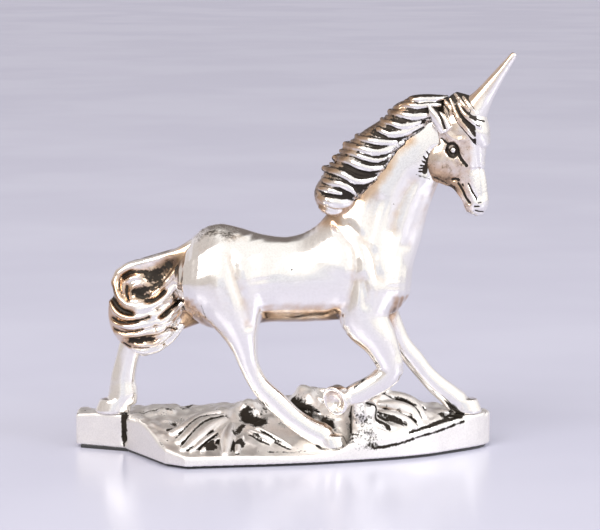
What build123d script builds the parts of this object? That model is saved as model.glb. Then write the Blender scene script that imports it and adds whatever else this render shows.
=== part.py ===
from build123d import *

import math
import os

# Unicorn figurine: silver-plated pewter castings, pinned and soldered together on a rocky base.
# The frame is the figurine's own: +X is the way the animal faces, +Y its left, +Z up. The origin is
# on the underside of the felt, below the middle of the body. All sizes are in millimetres and degrees.
# Tables whose names end in shares hold places and girths as parts of the named sizes they follow.

# Base casting and the felt glued under it
BASE_LENGTH = 73.0
BASE_WIDTH = 25.8
GROUND_HEIGHT = 10.6
FELT_THICKNESS = 0.5
FELT_INSET = 0.8
PRINT_MARGIN = 0.4
STREAK_WIDTH = 2.4
STREAK_HEIGHT = 2.6

# Seats in the ground for the four hooves: heights above the table
RIGHT_HIND_SEAT = 2.0
LEFT_HIND_SEAT = 6.4
LEFT_FORE_SEAT = 6.3
RAISED_HOOF_HEIGHT = 11.2

# Body casting
TORSO_LENGTH = 39.2
TORSO_DEPTH = 18.0
TORSO_WIDTH = 13.8
TORSO_HEIGHT = 31.0
TORSO_REAR = -18.0

# Leg castings
HIND_LEG_DEPTH = 13.0
HIND_LEG_WIDTH = 6.4
FORE_LEG_DEPTH = 9.0
FORE_LEG_WIDTH = 5.4
LEG_SPREAD = 5.2
HOOF_LENGTH = 5.6
HOOF_WIDTH = 5.0
HOOF_HEIGHT = 2.3
LEFT_HIND_HOOF_LENGTH = 6.4
RAISED_HOOF_PITCH = -15.0
RAISED_HOOF_TURN = 235.0

# Neck and head castings
NECK_LENGTH = 25.4
NECK_DEPTH = 17.2
NECK_WIDTH = 11.2
NECK_PITCH = 58.0
HEAD_LENGTH = 19.4
HEAD_DEPTH = 10.8
HEAD_WIDTH = 6.2
HEAD_PITCH = -74.0
HEAD_TURN = -10.0

# Horn, mane, forelock, ears and tail castings
HORN_LENGTH = 12.7
HORN_DIAMETER = 5.6
HORN_PITCH = 54.5
MANE_WIDTH = 11.0
MANE_LOCK_RELIEF = 0.7
FORELOCK_WIDTH = 7.0
FORELOCK_DEPTH = 7.6
EAR_LENGTH = 5.2
EAR_DEPTH = 2.6
EAR_WIDTH = 1.9
EAR_SPREAD = 3.4
EAR_PITCH = 125.0
TAIL_LENGTH = 18.7
TAIL_DEPTH = 12.6
TAIL_WIDTH = 6.8
TAIL_PITCH = -112.0

# Brass pins that line the castings up for soldering
CROSS_PIN_DIAMETER = 2.0
CROSS_PIN_LENGTH = 10.0
NECK_PIN_DIAMETER = 2.0
NECK_PIN_LENGTH = 8.0
HEAD_PIN_DIAMETER = 1.4
HEAD_PIN_LENGTH = 5.0
HORN_PIN_DIAMETER = 1.0
HORN_PIN_LENGTH = 4.0
TAIL_PIN_DIAMETER = 1.2
TAIL_PIN_LENGTH = 4.0
HOOF_PIN_DIAMETER = 1.2
HOOF_PIN_IN_BASE = 0.9
RAISED_PIN_LENGTH = 3.2
PIN_CLEARANCE = 0.03

RING_POINTS = 12
LOFT_SECTIONS = 14
SIDE = Vector(0, 1, 0)
UP = Vector(0, 0, 1)
DOWN = Vector(0, 0, -1)


class Rig:
    """A straight line through a casting, in a plane square to its side direction."""

    def __init__(self, root, line, side=SIDE):
        self.root = root
        self.line = line
        self.side = side
        self.bow = line.cross(side)

    def point(self, along_share, bow_share, offset=0):
        """A point by shares of the line's length along and across it, and a length sideways."""
        return self.root + self.line * along_share + self.bow * bow_share + self.side * offset


def pitched(length, pitch, turn=0):
    """A line of this length, raised by pitch from level and turned about the vertical."""
    level = length * math.cos(math.radians(pitch))
    rise = length * math.sin(math.radians(pitch))
    return Vector(level, 0, rise).rotate(Axis.Z, turn)


def level_line(start, end):
    """The line from start to end, laid into the figure's middle plane."""
    return Vector(end.X - start.X, 0, end.Z - start.Z)


def ring(centre, heading, depth, width, side=SIDE):
    """An elliptical section square to heading."""
    plane = Plane(origin=centre, x_dir=heading.cross(side), z_dir=heading)
    angles = [math.tau * count / RING_POINTS for count in range(RING_POINTS)]
    corners = [(depth / 2 * math.cos(angle), width / 2 * math.sin(angle)) for angle in angles]
    return plane * make_face(Spline(*corners, periodic=True))


def evened(rows, count):
    """Rows of numbers, the first three a place, respaced evenly along a smooth curve through them."""
    reach = [0]
    for before, after in zip(rows, rows[1:]):
        reach.append(reach[-1] + math.dist(before[:3], after[:3]))
    last = len(rows) - 1

    def slope(index, column):
        low, high = max(index - 1, 0), min(index + 1, last)
        return (rows[high][column] - rows[low][column]) / (reach[high] - reach[low])

    found = []
    for step in range(count):
        place = reach[-1] * step / (count - 1)
        index = max(k for k in range(last) if reach[k] <= place)
        span = reach[index + 1] - reach[index]
        u = (place - reach[index]) / span
        found.append([
            (1 + 2 * u) * (1 - u) ** 2 * rows[index][c]
            + u**2 * (3 - 2 * u) * rows[index + 1][c]
            + span * u * (1 - u) ** 2 * slope(index, c)
            + span * u**2 * (u - 1) * slope(index + 1, c)
            for c in range(len(rows[0]))
        ])
    return found


def tapered(stations, side=SIDE, way=None):
    """A solid through elliptical sections, from stations of (centre, depth, width).
    The sections stand square to the line of centres, or all face one way."""
    rows = evened([(c.X, c.Y, c.Z, d, w) for c, d, w in stations], LOFT_SECTIONS)
    points = [Vector(*row[:3]) for row in rows]
    before = [points[0]] + points[:-1]
    after = points[1:] + [points[-1]]
    ways = [way or (b - a).normalized() for a, b in zip(before, after)]
    return loft([
        ring(point, heading, row[3], row[4], side) for point, heading, row in zip(points, ways, rows)
    ])


def make_hoof(coronet, sole, way, length):
    """A short cone from the coronet band down to the flat sole."""
    return loft([
        ring(coronet, way, CORONET_SHARE * length, CORONET_SHARE * HOOF_WIDTH),
        ring(sole, way, length, HOOF_WIDTH),
    ])


def pin(centre, axis, diameter, length):
    return Plane(origin=centre, z_dir=axis) * Cylinder(diameter / 2, length)


def pin_hole(centre, axis, diameter, length):
    return pin(centre, axis, diameter + 2 * PIN_CLEARANCE, length + 2 * PIN_CLEARANCE)


def kept(shape):
    """The largest solid of a cut casting, without the crumbs that a grazing cut leaves."""
    return max(shape.solids(), key=lambda solid: solid.volume)


# Torso: barrel, croup and chest, from the rump to the breast
# Each row: along the body, centre's rise, depth, width
TORSO_SHARES = [
    (0.00, 0.04, 0.27, 0.38),
    (0.035, 0.00, 0.55, 0.67),
    (0.10, 0.01, 0.88, 0.90),
    (0.18, 0.02, 1.01, 0.99),
    (0.27, 0.01, 0.97, 0.99),
    (0.38, 0.00, 0.85, 0.94),
    (0.51, -0.01, 0.82, 0.97),
    (0.64, 0.03, 0.88, 1.00),
    (0.77, 0.08, 0.94, 0.94),
    (0.89, 0.02, 0.77, 0.84),
    (0.97, -0.06, 0.48, 0.61),
    (1.00, -0.10, 0.22, 0.29),
]


def torso_point(along_share, rise_share, side_share=0):
    """A place in the body by shares of its length, depth and width."""
    return Vector(
        TORSO_REAR + along_share * TORSO_LENGTH,
        side_share * TORSO_WIDTH,
        TORSO_HEIGHT + rise_share * TORSO_DEPTH,
    )


def make_torso():
    stations = [
        (torso_point(along, rise), depth * TORSO_DEPTH, width * TORSO_WIDTH)
        for along, rise, depth, width in TORSO_SHARES
    ]
    return tapered(stations, way=Vector(1, 0, 0))


# Legs: each runs from its place in the body to its hoof's seat on the ground
# Each row: along, bow, distance from the middle plane, depth, width
HIND_HIP_SHARES = (0.19, 0.11)
FORE_SHOULDER_SHARES = (0.82, -0.06)
RIGHT_HIND_SHARES = [
    (-0.08, 0.00, 0.68, 0.55, 0.58),
    (0.00, 0.00, 0.80, 1.00, 0.97),
    (0.14, -0.03, 0.96, 0.82, 1.00),
    (0.26, -0.06, 1.00, 0.57, 0.91),
    (0.36, -0.09, 0.96, 0.37, 0.69),
    (0.45, -0.12, 0.92, 0.27, 0.50),
    (0.56, -0.13, 0.88, 0.26, 0.44),
    (0.66, -0.11, 0.87, 0.30, 0.47),
    (0.78, -0.08, 0.85, 0.28, 0.44),
    (0.87, -0.04, 0.83, 0.30, 0.53),
]
LEFT_HIND_SHARES = [
    (-0.08, 0.00, 0.68, 0.55, 0.58),
    (0.00, 0.00, 0.80, 1.00, 0.97),
    (0.20, -0.01, 0.96, 0.80, 1.00),
    (0.38, -0.06, 1.06, 0.55, 0.91),
    (0.52, -0.12, 1.08, 0.38, 0.69),
    (0.63, -0.13, 1.08, 0.33, 0.56),
    (0.72, -0.10, 1.08, 0.31, 0.50),
    (0.81, -0.06, 1.08, 0.34, 0.53),
]
LEFT_FORE_SHARES = [
    (-0.16, 0.00, 0.66, 0.48, 0.50),
    (0.00, 0.00, 0.84, 1.00, 0.95),
    (0.16, -0.02, 0.90, 0.74, 0.92),
    (0.31, -0.03, 0.92, 0.46, 0.74),
    (0.43, -0.05, 0.94, 0.38, 0.60),
    (0.55, -0.05, 0.96, 0.39, 0.58),
    (0.66, -0.05, 1.00, 0.37, 0.54),
    (0.75, -0.04, 1.02, 0.40, 0.56),
    (0.84, -0.02, 1.06, 0.43, 0.62),
]
RAISED_FORE_SHARES = [
    (-0.18, -0.03, 0.66, 0.48, 0.50),
    (0.00, 0.00, 0.84, 1.00, 0.95),
    (0.27, 0.06, 0.92, 0.90, 1.00),
    (0.42, 0.22, 0.94, 0.70, 0.90),
    (0.55, 0.32, 0.92, 0.56, 0.78),
    (0.67, 0.39, 0.92, 0.48, 0.70),
    (0.77, 0.33, 0.92, 0.46, 0.66),
    (0.87, 0.23, 0.91, 0.44, 0.62),
    (0.95, 0.13, 0.90, 0.44, 0.66),
]
PASTERN_SHARES = (0.93, 0.00)
PASTERN_GIRTH_SHARE = 0.72
FOOT_GIRTH_SHARE = 0.40
FOOT_IN_HOOF_SHARE = 0.75
CORONET_SHARE = 0.86
HOOF_LEAN_SHARE = 0.45

# Hoof places on the ground: along the base, across it from the animal's middle plane
RIGHT_HIND_PLACE_SHARES = (0.123, -0.163)
LEFT_HIND_PLACE_SHARES = (-0.408, 0.217)
LEFT_FORE_PLACE_SHARES = (0.447, 0.240)
RAISED_HOOF_PLACE_SHARES = (0.140, -0.182)


def ground_place(place_shares, height):
    return Vector(place_shares[0] * BASE_LENGTH, place_shares[1] * BASE_WIDTH, height)


HIP = torso_point(*HIND_HIP_SHARES)
SHOULDER = torso_point(*FORE_SHOULDER_SHARES)
RIGHT_HIND_SOLE = ground_place(RIGHT_HIND_PLACE_SHARES, RIGHT_HIND_SEAT)
LEFT_HIND_SOLE = ground_place(LEFT_HIND_PLACE_SHARES, LEFT_HIND_SEAT)
LEFT_FORE_SOLE = ground_place(LEFT_FORE_PLACE_SHARES, LEFT_FORE_SEAT)
RAISED_HOOF = ground_place(RAISED_HOOF_PLACE_SHARES, RAISED_HOOF_HEIGHT)


def leg_stations(rig, rows, hand, depth, width):
    """Stations of a leg. hand is 1 for the left legs and -1 for the right ones."""
    return [
        (rig.point(along, bow, hand * spread * LEG_SPREAD), d * depth, w * width)
        for along, bow, spread, d, w in rows
    ]


def make_standing_leg(root, sole, rows, depth, width, hoof_length):
    """A leg whose flat sole stands on the ground."""
    hand = math.copysign(1, sole.Y)
    rig = Rig(Vector(root.X, 0, root.Z), level_line(root, sole))
    stations = leg_stations(rig, rows, hand, depth, width)
    pastern = rig.point(*PASTERN_SHARES, sole.Y)
    inside = sole + UP * HOOF_HEIGHT * FOOT_IN_HOOF_SHARE
    stations.append((pastern, PASTERN_GIRTH_SHARE * hoof_length, PASTERN_GIRTH_SHARE * HOOF_WIDTH))
    stations.append((inside, FOOT_GIRTH_SHARE * hoof_length, FOOT_GIRTH_SHARE * HOOF_WIDTH))
    lean = Vector(pastern.X - sole.X, 0, 0) * HOOF_LEAN_SHARE
    coronet = sole + UP * HOOF_HEIGHT + lean
    return tapered(stations) + make_hoof(coronet, sole, DOWN, hoof_length)


def make_raised_leg(root, coronet):
    """The bent foreleg: forearm to the knee, then back along the cannon to the hoof's bared sole."""
    rig = Rig(Vector(root.X, 0, root.Z), level_line(root, coronet))
    stations = leg_stations(rig, RAISED_FORE_SHARES, -1, FORE_LEG_DEPTH, FORE_LEG_WIDTH)
    sole_way = pitched(1, RAISED_HOOF_PITCH, RAISED_HOOF_TURN)
    inside = coronet + sole_way * HOOF_HEIGHT * (1 - FOOT_IN_HOOF_SHARE)
    stations.append((inside, FOOT_GIRTH_SHARE * HOOF_LENGTH, FOOT_GIRTH_SHARE * HOOF_WIDTH))
    hoof = make_hoof(coronet, coronet + sole_way * HOOF_HEIGHT, sole_way, HOOF_LENGTH)
    return tapered(stations) + hoof


# Neck, head and what they carry
# Each row: along, bow, depth, width
NECK_ROOT_SHARES = (0.80, 0.14)
NECK_SHARES = [
    (0.00, 0.00, 1.00, 1.00),
    (0.27, 0.04, 0.95, 0.84),
    (0.49, 0.08, 0.87, 0.71),
    (0.71, 0.09, 0.77, 0.61),
    (0.87, 0.06, 0.67, 0.54),
    (1.00, 0.01, 0.57, 0.45),
    (1.14, -0.02, 0.38, 0.36),
]
HEAD_ON_NECK_SHARES = (0.27, -0.17)
HEAD_SHARES = [
    (0.00, 0.00, 0.35, 0.55),
    (0.15, 0.04, 0.85, 0.94),
    (0.38, -0.03, 0.94, 1.00),
    (0.53, -0.10, 1.00, 0.94),
    (0.69, -0.04, 0.72, 0.74),
    (0.84, -0.01, 0.51, 0.65),
    (0.96, 0.00, 0.34, 0.56),
    (1.00, 0.00, 0.19, 0.32),
]
HORN_ON_HEAD_SHARES = (0.13, 0.17)
# Each row: along, diameter
HORN_SHARES = [
    (-0.15, 1.04),
    (0.00, 1.00),
    (0.12, 0.84),
    (0.30, 0.60),
    (0.55, 0.42),
    (0.80, 0.29),
    (1.00, 0.18),
]
# Locks of the mane from the poll down. Each row: tip along and bow, root along and bow, width
MANE_SHARES = [
    (1.11, 0.32, 1.28, 0.10, 0.40),
    (1.02, 0.36, 1.22, 0.08, 0.58),
    (0.96, 0.38, 1.13, 0.08, 0.68),
    (0.87, 0.42, 1.05, 0.09, 0.75),
    (0.75, 0.47, 0.95, 0.12, 0.81),
    (0.65, 0.50, 0.86, 0.14, 0.85),
    (0.58, 0.50, 0.80, 0.14, 0.88),
    (0.51, 0.51, 0.72, 0.14, 0.91),
    (0.43, 0.53, 0.65, 0.15, 0.95),
    (0.36, 0.53, 0.56, 0.17, 0.98),
    (0.28, 0.54, 0.46, 0.19, 1.00),
    (0.22, 0.50, 0.37, 0.22, 0.93),
    (0.18, 0.42, 0.25, 0.27, 0.60),
]
# Each row: along, bow, depth, width
FORELOCK_SHARES = [
    (-0.03, 0.03, 0.55, 0.50),
    (0.10, 0.10, 0.95, 0.92),
    (0.22, 0.14, 0.90, 1.00),
    (0.34, 0.18, 0.66, 0.92),
    (0.43, 0.21, 0.34, 0.55),
]
EAR_ON_HEAD_SHARES = (0.20, -0.06)
EAR_SHARES = [(0.00, 0.90, 0.90), (0.35, 1.00, 1.00), (0.70, 0.70, 0.70), (1.00, 0.20, 0.20)]
# Each row: along, bow, depth, width
DOCK_SHARES = (0.065, 0.25)
TAIL_SHARES = [
    (0.00, 0.00, 0.27, 0.47),
    (0.26, -0.15, 0.57, 0.71),
    (0.56, -0.24, 1.00, 1.00),
    (0.83, -0.13, 0.92, 0.94),
    (1.00, 0.00, 0.35, 0.41),
]

NECK_RIG = Rig(torso_point(*NECK_ROOT_SHARES), pitched(NECK_LENGTH, NECK_PITCH))
HEAD_LINE = pitched(HEAD_LENGTH, HEAD_PITCH, HEAD_TURN)
HEAD_SIDE = SIDE.rotate(Axis.Z, HEAD_TURN)
POLL = NECK_RIG.point(1, 0) - Rig(Vector(0, 0, 0), HEAD_LINE, HEAD_SIDE).point(*HEAD_ON_NECK_SHARES)
HEAD_RIG = Rig(POLL, HEAD_LINE, HEAD_SIDE)
HORN_ROOT = HEAD_RIG.point(*HORN_ON_HEAD_SHARES)
HORN_RIG = Rig(HORN_ROOT, pitched(HORN_LENGTH, HORN_PITCH, HEAD_TURN), HEAD_SIDE)
TAIL_RIG = Rig(torso_point(*DOCK_SHARES), pitched(TAIL_LENGTH, TAIL_PITCH))


def along_rig(rig, rows, depth, width):
    """A casting whose sections follow a rig by rows of along, bow, depth and width."""
    stations = [(rig.point(along, bow), d * depth, w * width) for along, bow, d, w in rows]
    return tapered(stations, rig.side)


def make_horn():
    rows = [(along, 0, girth, girth) for along, girth in HORN_SHARES]
    return along_rig(HORN_RIG, rows, HORN_DIAMETER, HORN_DIAMETER)


def lock_ring(tip, root, width):
    """A section of the mane along one lock, from its tip to its root."""
    return ring((tip + root) / 2, SIDE.cross(tip - root).normalized(), (tip - root).length, width)


def make_mane():
    """A crest of locks that straddles the neck from the poll to the withers, grooved between them."""
    locks = [
        (NECK_RIG.point(*row[0:2]), NECK_RIG.point(*row[2:4]), row[4] * MANE_WIDTH) for row in MANE_SHARES
    ]
    sections = [lock_ring(*locks[0])]
    for (tip_a, root_a, width_a), (tip_b, root_b, width_b) in zip(locks, locks[1:]):
        tip, root = (tip_a + tip_b) / 2, (root_a + root_b) / 2
        drawn_in = (root - tip).normalized() * MANE_LOCK_RELIEF
        sections.append(lock_ring(tip + drawn_in, root, (width_a + width_b) / 2 - 2 * MANE_LOCK_RELIEF))
        sections.append(lock_ring(tip_b, root_b, width_b))
    return loft(sections)


def make_ear(hand):
    root = HEAD_RIG.point(*EAR_ON_HEAD_SHARES, hand * EAR_SPREAD)
    rig = Rig(root, pitched(EAR_LENGTH, EAR_PITCH, HEAD_TURN), HEAD_SIDE)
    stations = [(rig.point(along, 0), d * EAR_DEPTH, w * EAR_WIDTH) for along, d, w in EAR_SHARES]
    return tapered(stations, HEAD_SIDE)


# Ground: a slab with a ragged outline whose top rises and falls, and crags standing on it
# Corners of the outline: along the base, across it from the animal's middle plane
BACK_EDGE_SHARES = [
    (0.473, 0.484),
    (0.274, 0.519),
    (0.00, 0.504),
    (-0.247, 0.527),
    (-0.425, 0.512),
    (-0.493, 0.419),
]
LEFT_FACET_SHARES = [(-0.496, 0.252), (-0.377, 0.116), (-0.271, -0.380), (-0.222, -0.473)]
FRONT_EDGE_SHARES = [(0.114, -0.310), (0.390, 0.012), (0.501, 0.368)]
# Heights of the ground: a row for each place along the base, front edge to back edge
GROUND_ACROSS_SHARES = (-0.50, -0.32, -0.16, 0.00, 0.18, 0.36, 0.54)
GROUND_SHARES = {
    -0.52: (0.60, 0.60, 0.60, 0.60, 0.60, 0.60, 0.57),
    -0.41: (0.58, 0.58, 0.58, 0.59, 0.60, 0.60, 0.57),
    -0.31: (0.28, 0.38, 0.53, 0.58, 0.60, 0.62, 0.57),
    -0.21: (0.19, 0.26, 0.40, 0.53, 0.62, 0.64, 0.57),
    -0.10: (0.17, 0.23, 0.42, 0.60, 0.70, 0.70, 0.58),
    0.00: (0.15, 0.19, 0.34, 0.57, 0.77, 0.81, 0.62),
    0.10: (0.15, 0.17, 0.28, 0.72, 0.96, 0.94, 0.66),
    0.19: (0.15, 0.22, 0.52, 0.81, 1.00, 0.94, 0.66),
    0.28: (0.15, 0.22, 0.42, 0.64, 0.89, 0.87, 0.62),
    0.37: (0.28, 0.32, 0.40, 0.53, 0.66, 0.70, 0.57),
    0.45: (0.51, 0.53, 0.57, 0.58, 0.59, 0.59, 0.55),
    0.52: (0.51, 0.53, 0.55, 0.57, 0.58, 0.58, 0.53),
}
# Leaves and streaks of rock lying on the ground: places along the base and across it
STREAK_SHARES = [
    [(-0.259, -0.194), (-0.225, -0.066), (-0.188, 0.070), (-0.151, 0.140)],
    [(-0.241, -0.279), (-0.216, -0.155), (-0.182, -0.016), (-0.140, 0.066)],
    [(-0.230, -0.372), (-0.200, -0.213), (-0.168, -0.070), (-0.136, 0.016)],
    [(-0.132, -0.400), (-0.127, -0.202), (-0.119, -0.054)],
    [(0.240, 0.174), (0.308, 0.151), (0.340, 0.039)],
    [(0.233, 0.062), (0.274, 0.078), (0.310, 0.054), (0.326, -0.019)],
    [(0.201, -0.062), (0.255, -0.031), (0.299, -0.050), (0.316, -0.090)],
    [(0.171, -0.089), (0.219, -0.112), (0.260, -0.124)],
    [(0.166, -0.116), (0.204, -0.174), (0.240, -0.171)],
]
STREAK_END_SHARE = 0.45
# Crags: middle along and across, half length, half width, height, top's share of the foot, turn
CRAG_SHARES = [
    (-0.290, 0.270, 0.090, 0.220, 0.69, 0.60, 12.0),
    (-0.085, 0.170, 0.080, 0.250, 0.88, 0.36, -20.0),
    (0.060, 0.190, 0.085, 0.240, 1.06, 0.42, 15.0),
    (0.195, -0.110, 0.060, 0.140, 0.94, 0.62, 5.0),
    (0.240, 0.190, 0.085, 0.240, 1.05, 0.40, -10.0),
]
CRAG_CORNER_SHARES = [
    (1.00, 0.05),
    (0.52, 0.88),
    (-0.38, 1.00),
    (-0.96, 0.42),
    (-0.88, -0.50),
    (-0.10, -1.00),
    (0.74, -0.70),
]


def base_outline(length, width):
    def corners(shares):
        return [Vector(along * length, across * width, 0) for along, across in shares]

    back = corners(BACK_EDGE_SHARES)
    left = corners(LEFT_FACET_SHARES)
    edges = Polyline(*back, *left) + Spline(left[-1], *corners(FRONT_EDGE_SHARES), back[0])
    return make_face(edges.edges())


def make_ground():
    """Everything under the ground's surface, down to the table."""
    grid = [
        [Vector(along * BASE_LENGTH, across * BASE_WIDTH, height * GROUND_HEIGHT)
         for across, height in zip(GROUND_ACROSS_SHARES, heights)]
        for along, heights in GROUND_SHARES.items()
    ]
    return extrude(Face.make_surface_from_array_of_points(grid), amount=GROUND_HEIGHT, dir=DOWN)


def between(place, places, values):
    """The value at a place, on straight lines through the values at the places."""
    for start, end, before, after in zip(places, places[1:], values, values[1:]):
        if place <= end:
            return before + (after - before) * (place - start) / (end - start)
    return values[-1]


def on_ground(along, across):
    """A point of the ground's surface."""
    column = [between(across, GROUND_ACROSS_SHARES, heights) for heights in GROUND_SHARES.values()]
    height = between(along, list(GROUND_SHARES), column)
    return Vector(along * BASE_LENGTH, across * BASE_WIDTH, height * GROUND_HEIGHT)


def make_streak(places):
    """A long round ridge, half sunk in the ground, that thins to its ends."""
    girths = [STREAK_END_SHARE] + [1] * (len(places) - 2) + [STREAK_END_SHARE]
    return tapered([
        (on_ground(*place), girth * STREAK_WIDTH, girth * STREAK_HEIGHT) for place, girth in zip(places, girths)
    ], UP)


def make_crag(along, across, half_length, half_width, height, top_share, turn):
    """A blunt seven-sided crag from the base's underside up to its flat top."""
    foot = Vector(along * BASE_LENGTH, across * BASE_WIDTH, FELT_THICKNESS)
    top = Vector(foot.X, foot.Y, height * GROUND_HEIGHT)
    faces = []
    for centre, share in ((foot, 1), (top, top_share)):
        corners = [Vector(x * half_length * BASE_LENGTH, y * half_width * BASE_WIDTH, 0)
                   for x, y in CRAG_CORNER_SHARES]
        corners = [centre + corner.rotate(Axis.Z, turn) * share for corner in corners]
        faces.append(make_face(Polyline(*corners, close=True).edges()))
    return loft(faces, ruled=True)


def hoof_print(sole, hoof_length):
    """Levels the ground under a hoof: what fills up to the sole, and what is cut away above it."""
    print_face = Ellipse(hoof_length / 2 + PRINT_MARGIN, HOOF_WIDTH / 2 + PRINT_MARGIN)
    fill = extrude(Plane(origin=sole) * print_face, amount=FELT_THICKNESS - sole.Z)
    clear = extrude(Plane(origin=sole) * print_face, amount=GROUND_HEIGHT)
    return fill, clear


def make_base(legs):
    outline = Plane.XY.offset(FELT_THICKNESS) * base_outline(BASE_LENGTH, BASE_WIDTH)
    room = extrude(outline, amount=GROUND_HEIGHT)
    ground = make_ground() & room
    for row in CRAG_SHARES:
        ground = ground + (make_crag(*row) & room)
    for places in STREAK_SHARES:
        ground = ground + (make_streak(places) & room)
    standing = [
        (RIGHT_HIND_SOLE, HOOF_LENGTH),
        (LEFT_HIND_SOLE, LEFT_HIND_HOOF_LENGTH),
        (LEFT_FORE_SOLE, HOOF_LENGTH),
    ]
    for sole, hoof_length in standing:
        fill, clear = hoof_print(sole, hoof_length)
        ground = ground + (fill & room) - clear
    for leg in legs:
        ground = ground - leg
    return kept(ground)


def make_felt():
    outline = base_outline(BASE_LENGTH - 2 * FELT_INSET, BASE_WIDTH - 2 * FELT_INSET)
    return extrude(outline, amount=FELT_THICKNESS)


# Pins: each row is a node's name, its middle, axis, diameter and length, and the castings it joins
HOOF_PIN_SHARE = 0.75
NECK_PIN_SHARE = 0.22
HEAD_PIN_SHARES = (0.26, -0.16)
HORN_PIN_SHARE = 0.02
RAISED_PIN_SHARES = (0.93, 0.15)
TAIL_PIN_SHARE = 0.02


def pin_rows():
    neck_way = NECK_RIG.line
    hind_legs = ("torso", "right_hind_leg", "left_hind_leg")
    forelegs = ("torso", "right_foreleg", "left_foreleg")
    neck_place = NECK_RIG.point(NECK_PIN_SHARE, 0)
    head_place = HEAD_RIG.point(*HEAD_PIN_SHARES)
    horn_place = HORN_RIG.point(HORN_PIN_SHARE, 0)
    tail_place = TAIL_RIG.point(TAIL_PIN_SHARE, 0)
    raised_leg = ("base_casting", "right_foreleg")
    raised_rig = Rig(SHOULDER, level_line(SHOULDER, RAISED_HOOF))
    raised_place = raised_rig.point(*RAISED_PIN_SHARES, RAISED_HOOF.Y) + DOWN * HOOF_PIN_IN_BASE
    rows = [
        ("hip_pin", HIP, SIDE, CROSS_PIN_DIAMETER, CROSS_PIN_LENGTH, hind_legs),
        ("shoulder_pin", SHOULDER, SIDE, CROSS_PIN_DIAMETER, CROSS_PIN_LENGTH, forelegs),
        ("neck_pin", neck_place, neck_way, NECK_PIN_DIAMETER, NECK_PIN_LENGTH, ("torso", "neck")),
        ("head_pin", head_place, neck_way, HEAD_PIN_DIAMETER, HEAD_PIN_LENGTH, ("neck", "head")),
        ("horn_pin", horn_place, HORN_RIG.line, HORN_PIN_DIAMETER, HORN_PIN_LENGTH, ("head", "horn")),
        ("tail_pin", tail_place, TAIL_RIG.line, TAIL_PIN_DIAMETER, TAIL_PIN_LENGTH, ("torso", "tail")),
        ("right_fore_hoof_pin", raised_place, UP, HOOF_PIN_DIAMETER, RAISED_PIN_LENGTH, raised_leg),
    ]
    soles = {
        "right_hind": (RIGHT_HIND_SOLE, "right_hind_leg"),
        "left_hind": (LEFT_HIND_SOLE, "left_hind_leg"),
        "left_fore": (LEFT_FORE_SOLE, "left_foreleg"),
    }
    length = HOOF_PIN_IN_BASE + HOOF_PIN_SHARE * HOOF_HEIGHT
    for name, (sole, leg) in soles.items():
        middle = sole + UP * (length / 2 - HOOF_PIN_IN_BASE)
        rows.append((f"{name}_hoof_pin", middle, UP, HOOF_PIN_DIAMETER, length, ("base_casting", leg)))
    return rows


def make_figurine():
    body = make_torso()
    neck = kept(along_rig(NECK_RIG, NECK_SHARES, NECK_DEPTH, NECK_WIDTH) - body)
    mane = kept(make_mane() - neck - body)
    head = kept(along_rig(HEAD_RIG, HEAD_SHARES, HEAD_DEPTH, HEAD_WIDTH) - neck - mane)
    horn = kept(make_horn() - head - mane)
    forelock = along_rig(HEAD_RIG, FORELOCK_SHARES, FORELOCK_DEPTH, FORELOCK_WIDTH)
    forelock = kept(forelock - head - horn - neck - mane)
    ears = [kept(make_ear(hand) - head - neck - mane - forelock) for hand in (-1, 1)]

    hind = (HIND_LEG_DEPTH, HIND_LEG_WIDTH)
    fore = (FORE_LEG_DEPTH, FORE_LEG_WIDTH)
    right_hind = make_standing_leg(HIP, RIGHT_HIND_SOLE, RIGHT_HIND_SHARES, *hind, HOOF_LENGTH)
    left_hind = make_standing_leg(HIP, LEFT_HIND_SOLE, LEFT_HIND_SHARES, *hind, LEFT_HIND_HOOF_LENGTH)
    left_fore = make_standing_leg(SHOULDER, LEFT_FORE_SOLE, LEFT_FORE_SHARES, *fore, HOOF_LENGTH)
    right_fore = make_raised_leg(SHOULDER, RAISED_HOOF)
    legs = [kept(leg - neck) for leg in (right_hind, left_hind, right_fore, left_fore)]
    torso = kept(body - legs[0] - legs[1] - legs[2] - legs[3])
    tail = along_rig(TAIL_RIG, TAIL_SHARES, TAIL_DEPTH, TAIL_WIDTH)
    tail = kept(tail - body - legs[0] - legs[1])

    castings = {
        "base_casting": make_base(legs),
        "torso": torso,
        "neck": neck,
        "head": head,
        "horn": horn,
        "mane": mane,
        "forelock": forelock,
        "right_ear": ears[0],
        "left_ear": ears[1],
        "right_hind_leg": legs[0],
        "left_hind_leg": legs[1],
        "right_foreleg": legs[2],
        "left_foreleg": legs[3],
        "tail": tail,
    }
    pins = {}
    for name, middle, axis, diameter, length, joined in pin_rows():
        pins[name] = pin(middle, axis, diameter, length)
        hole = pin_hole(middle, axis, diameter, length)
        for casting in joined:
            castings[casting] = castings[casting] - hole
    return {**castings, **pins, "base_felt": make_felt()}


os.makedirs("parts", exist_ok=True)
for node, shape in make_figurine().items():
    export_step(shape, f"parts/{node}.step")
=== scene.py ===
import math
from itertools import product

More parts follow.
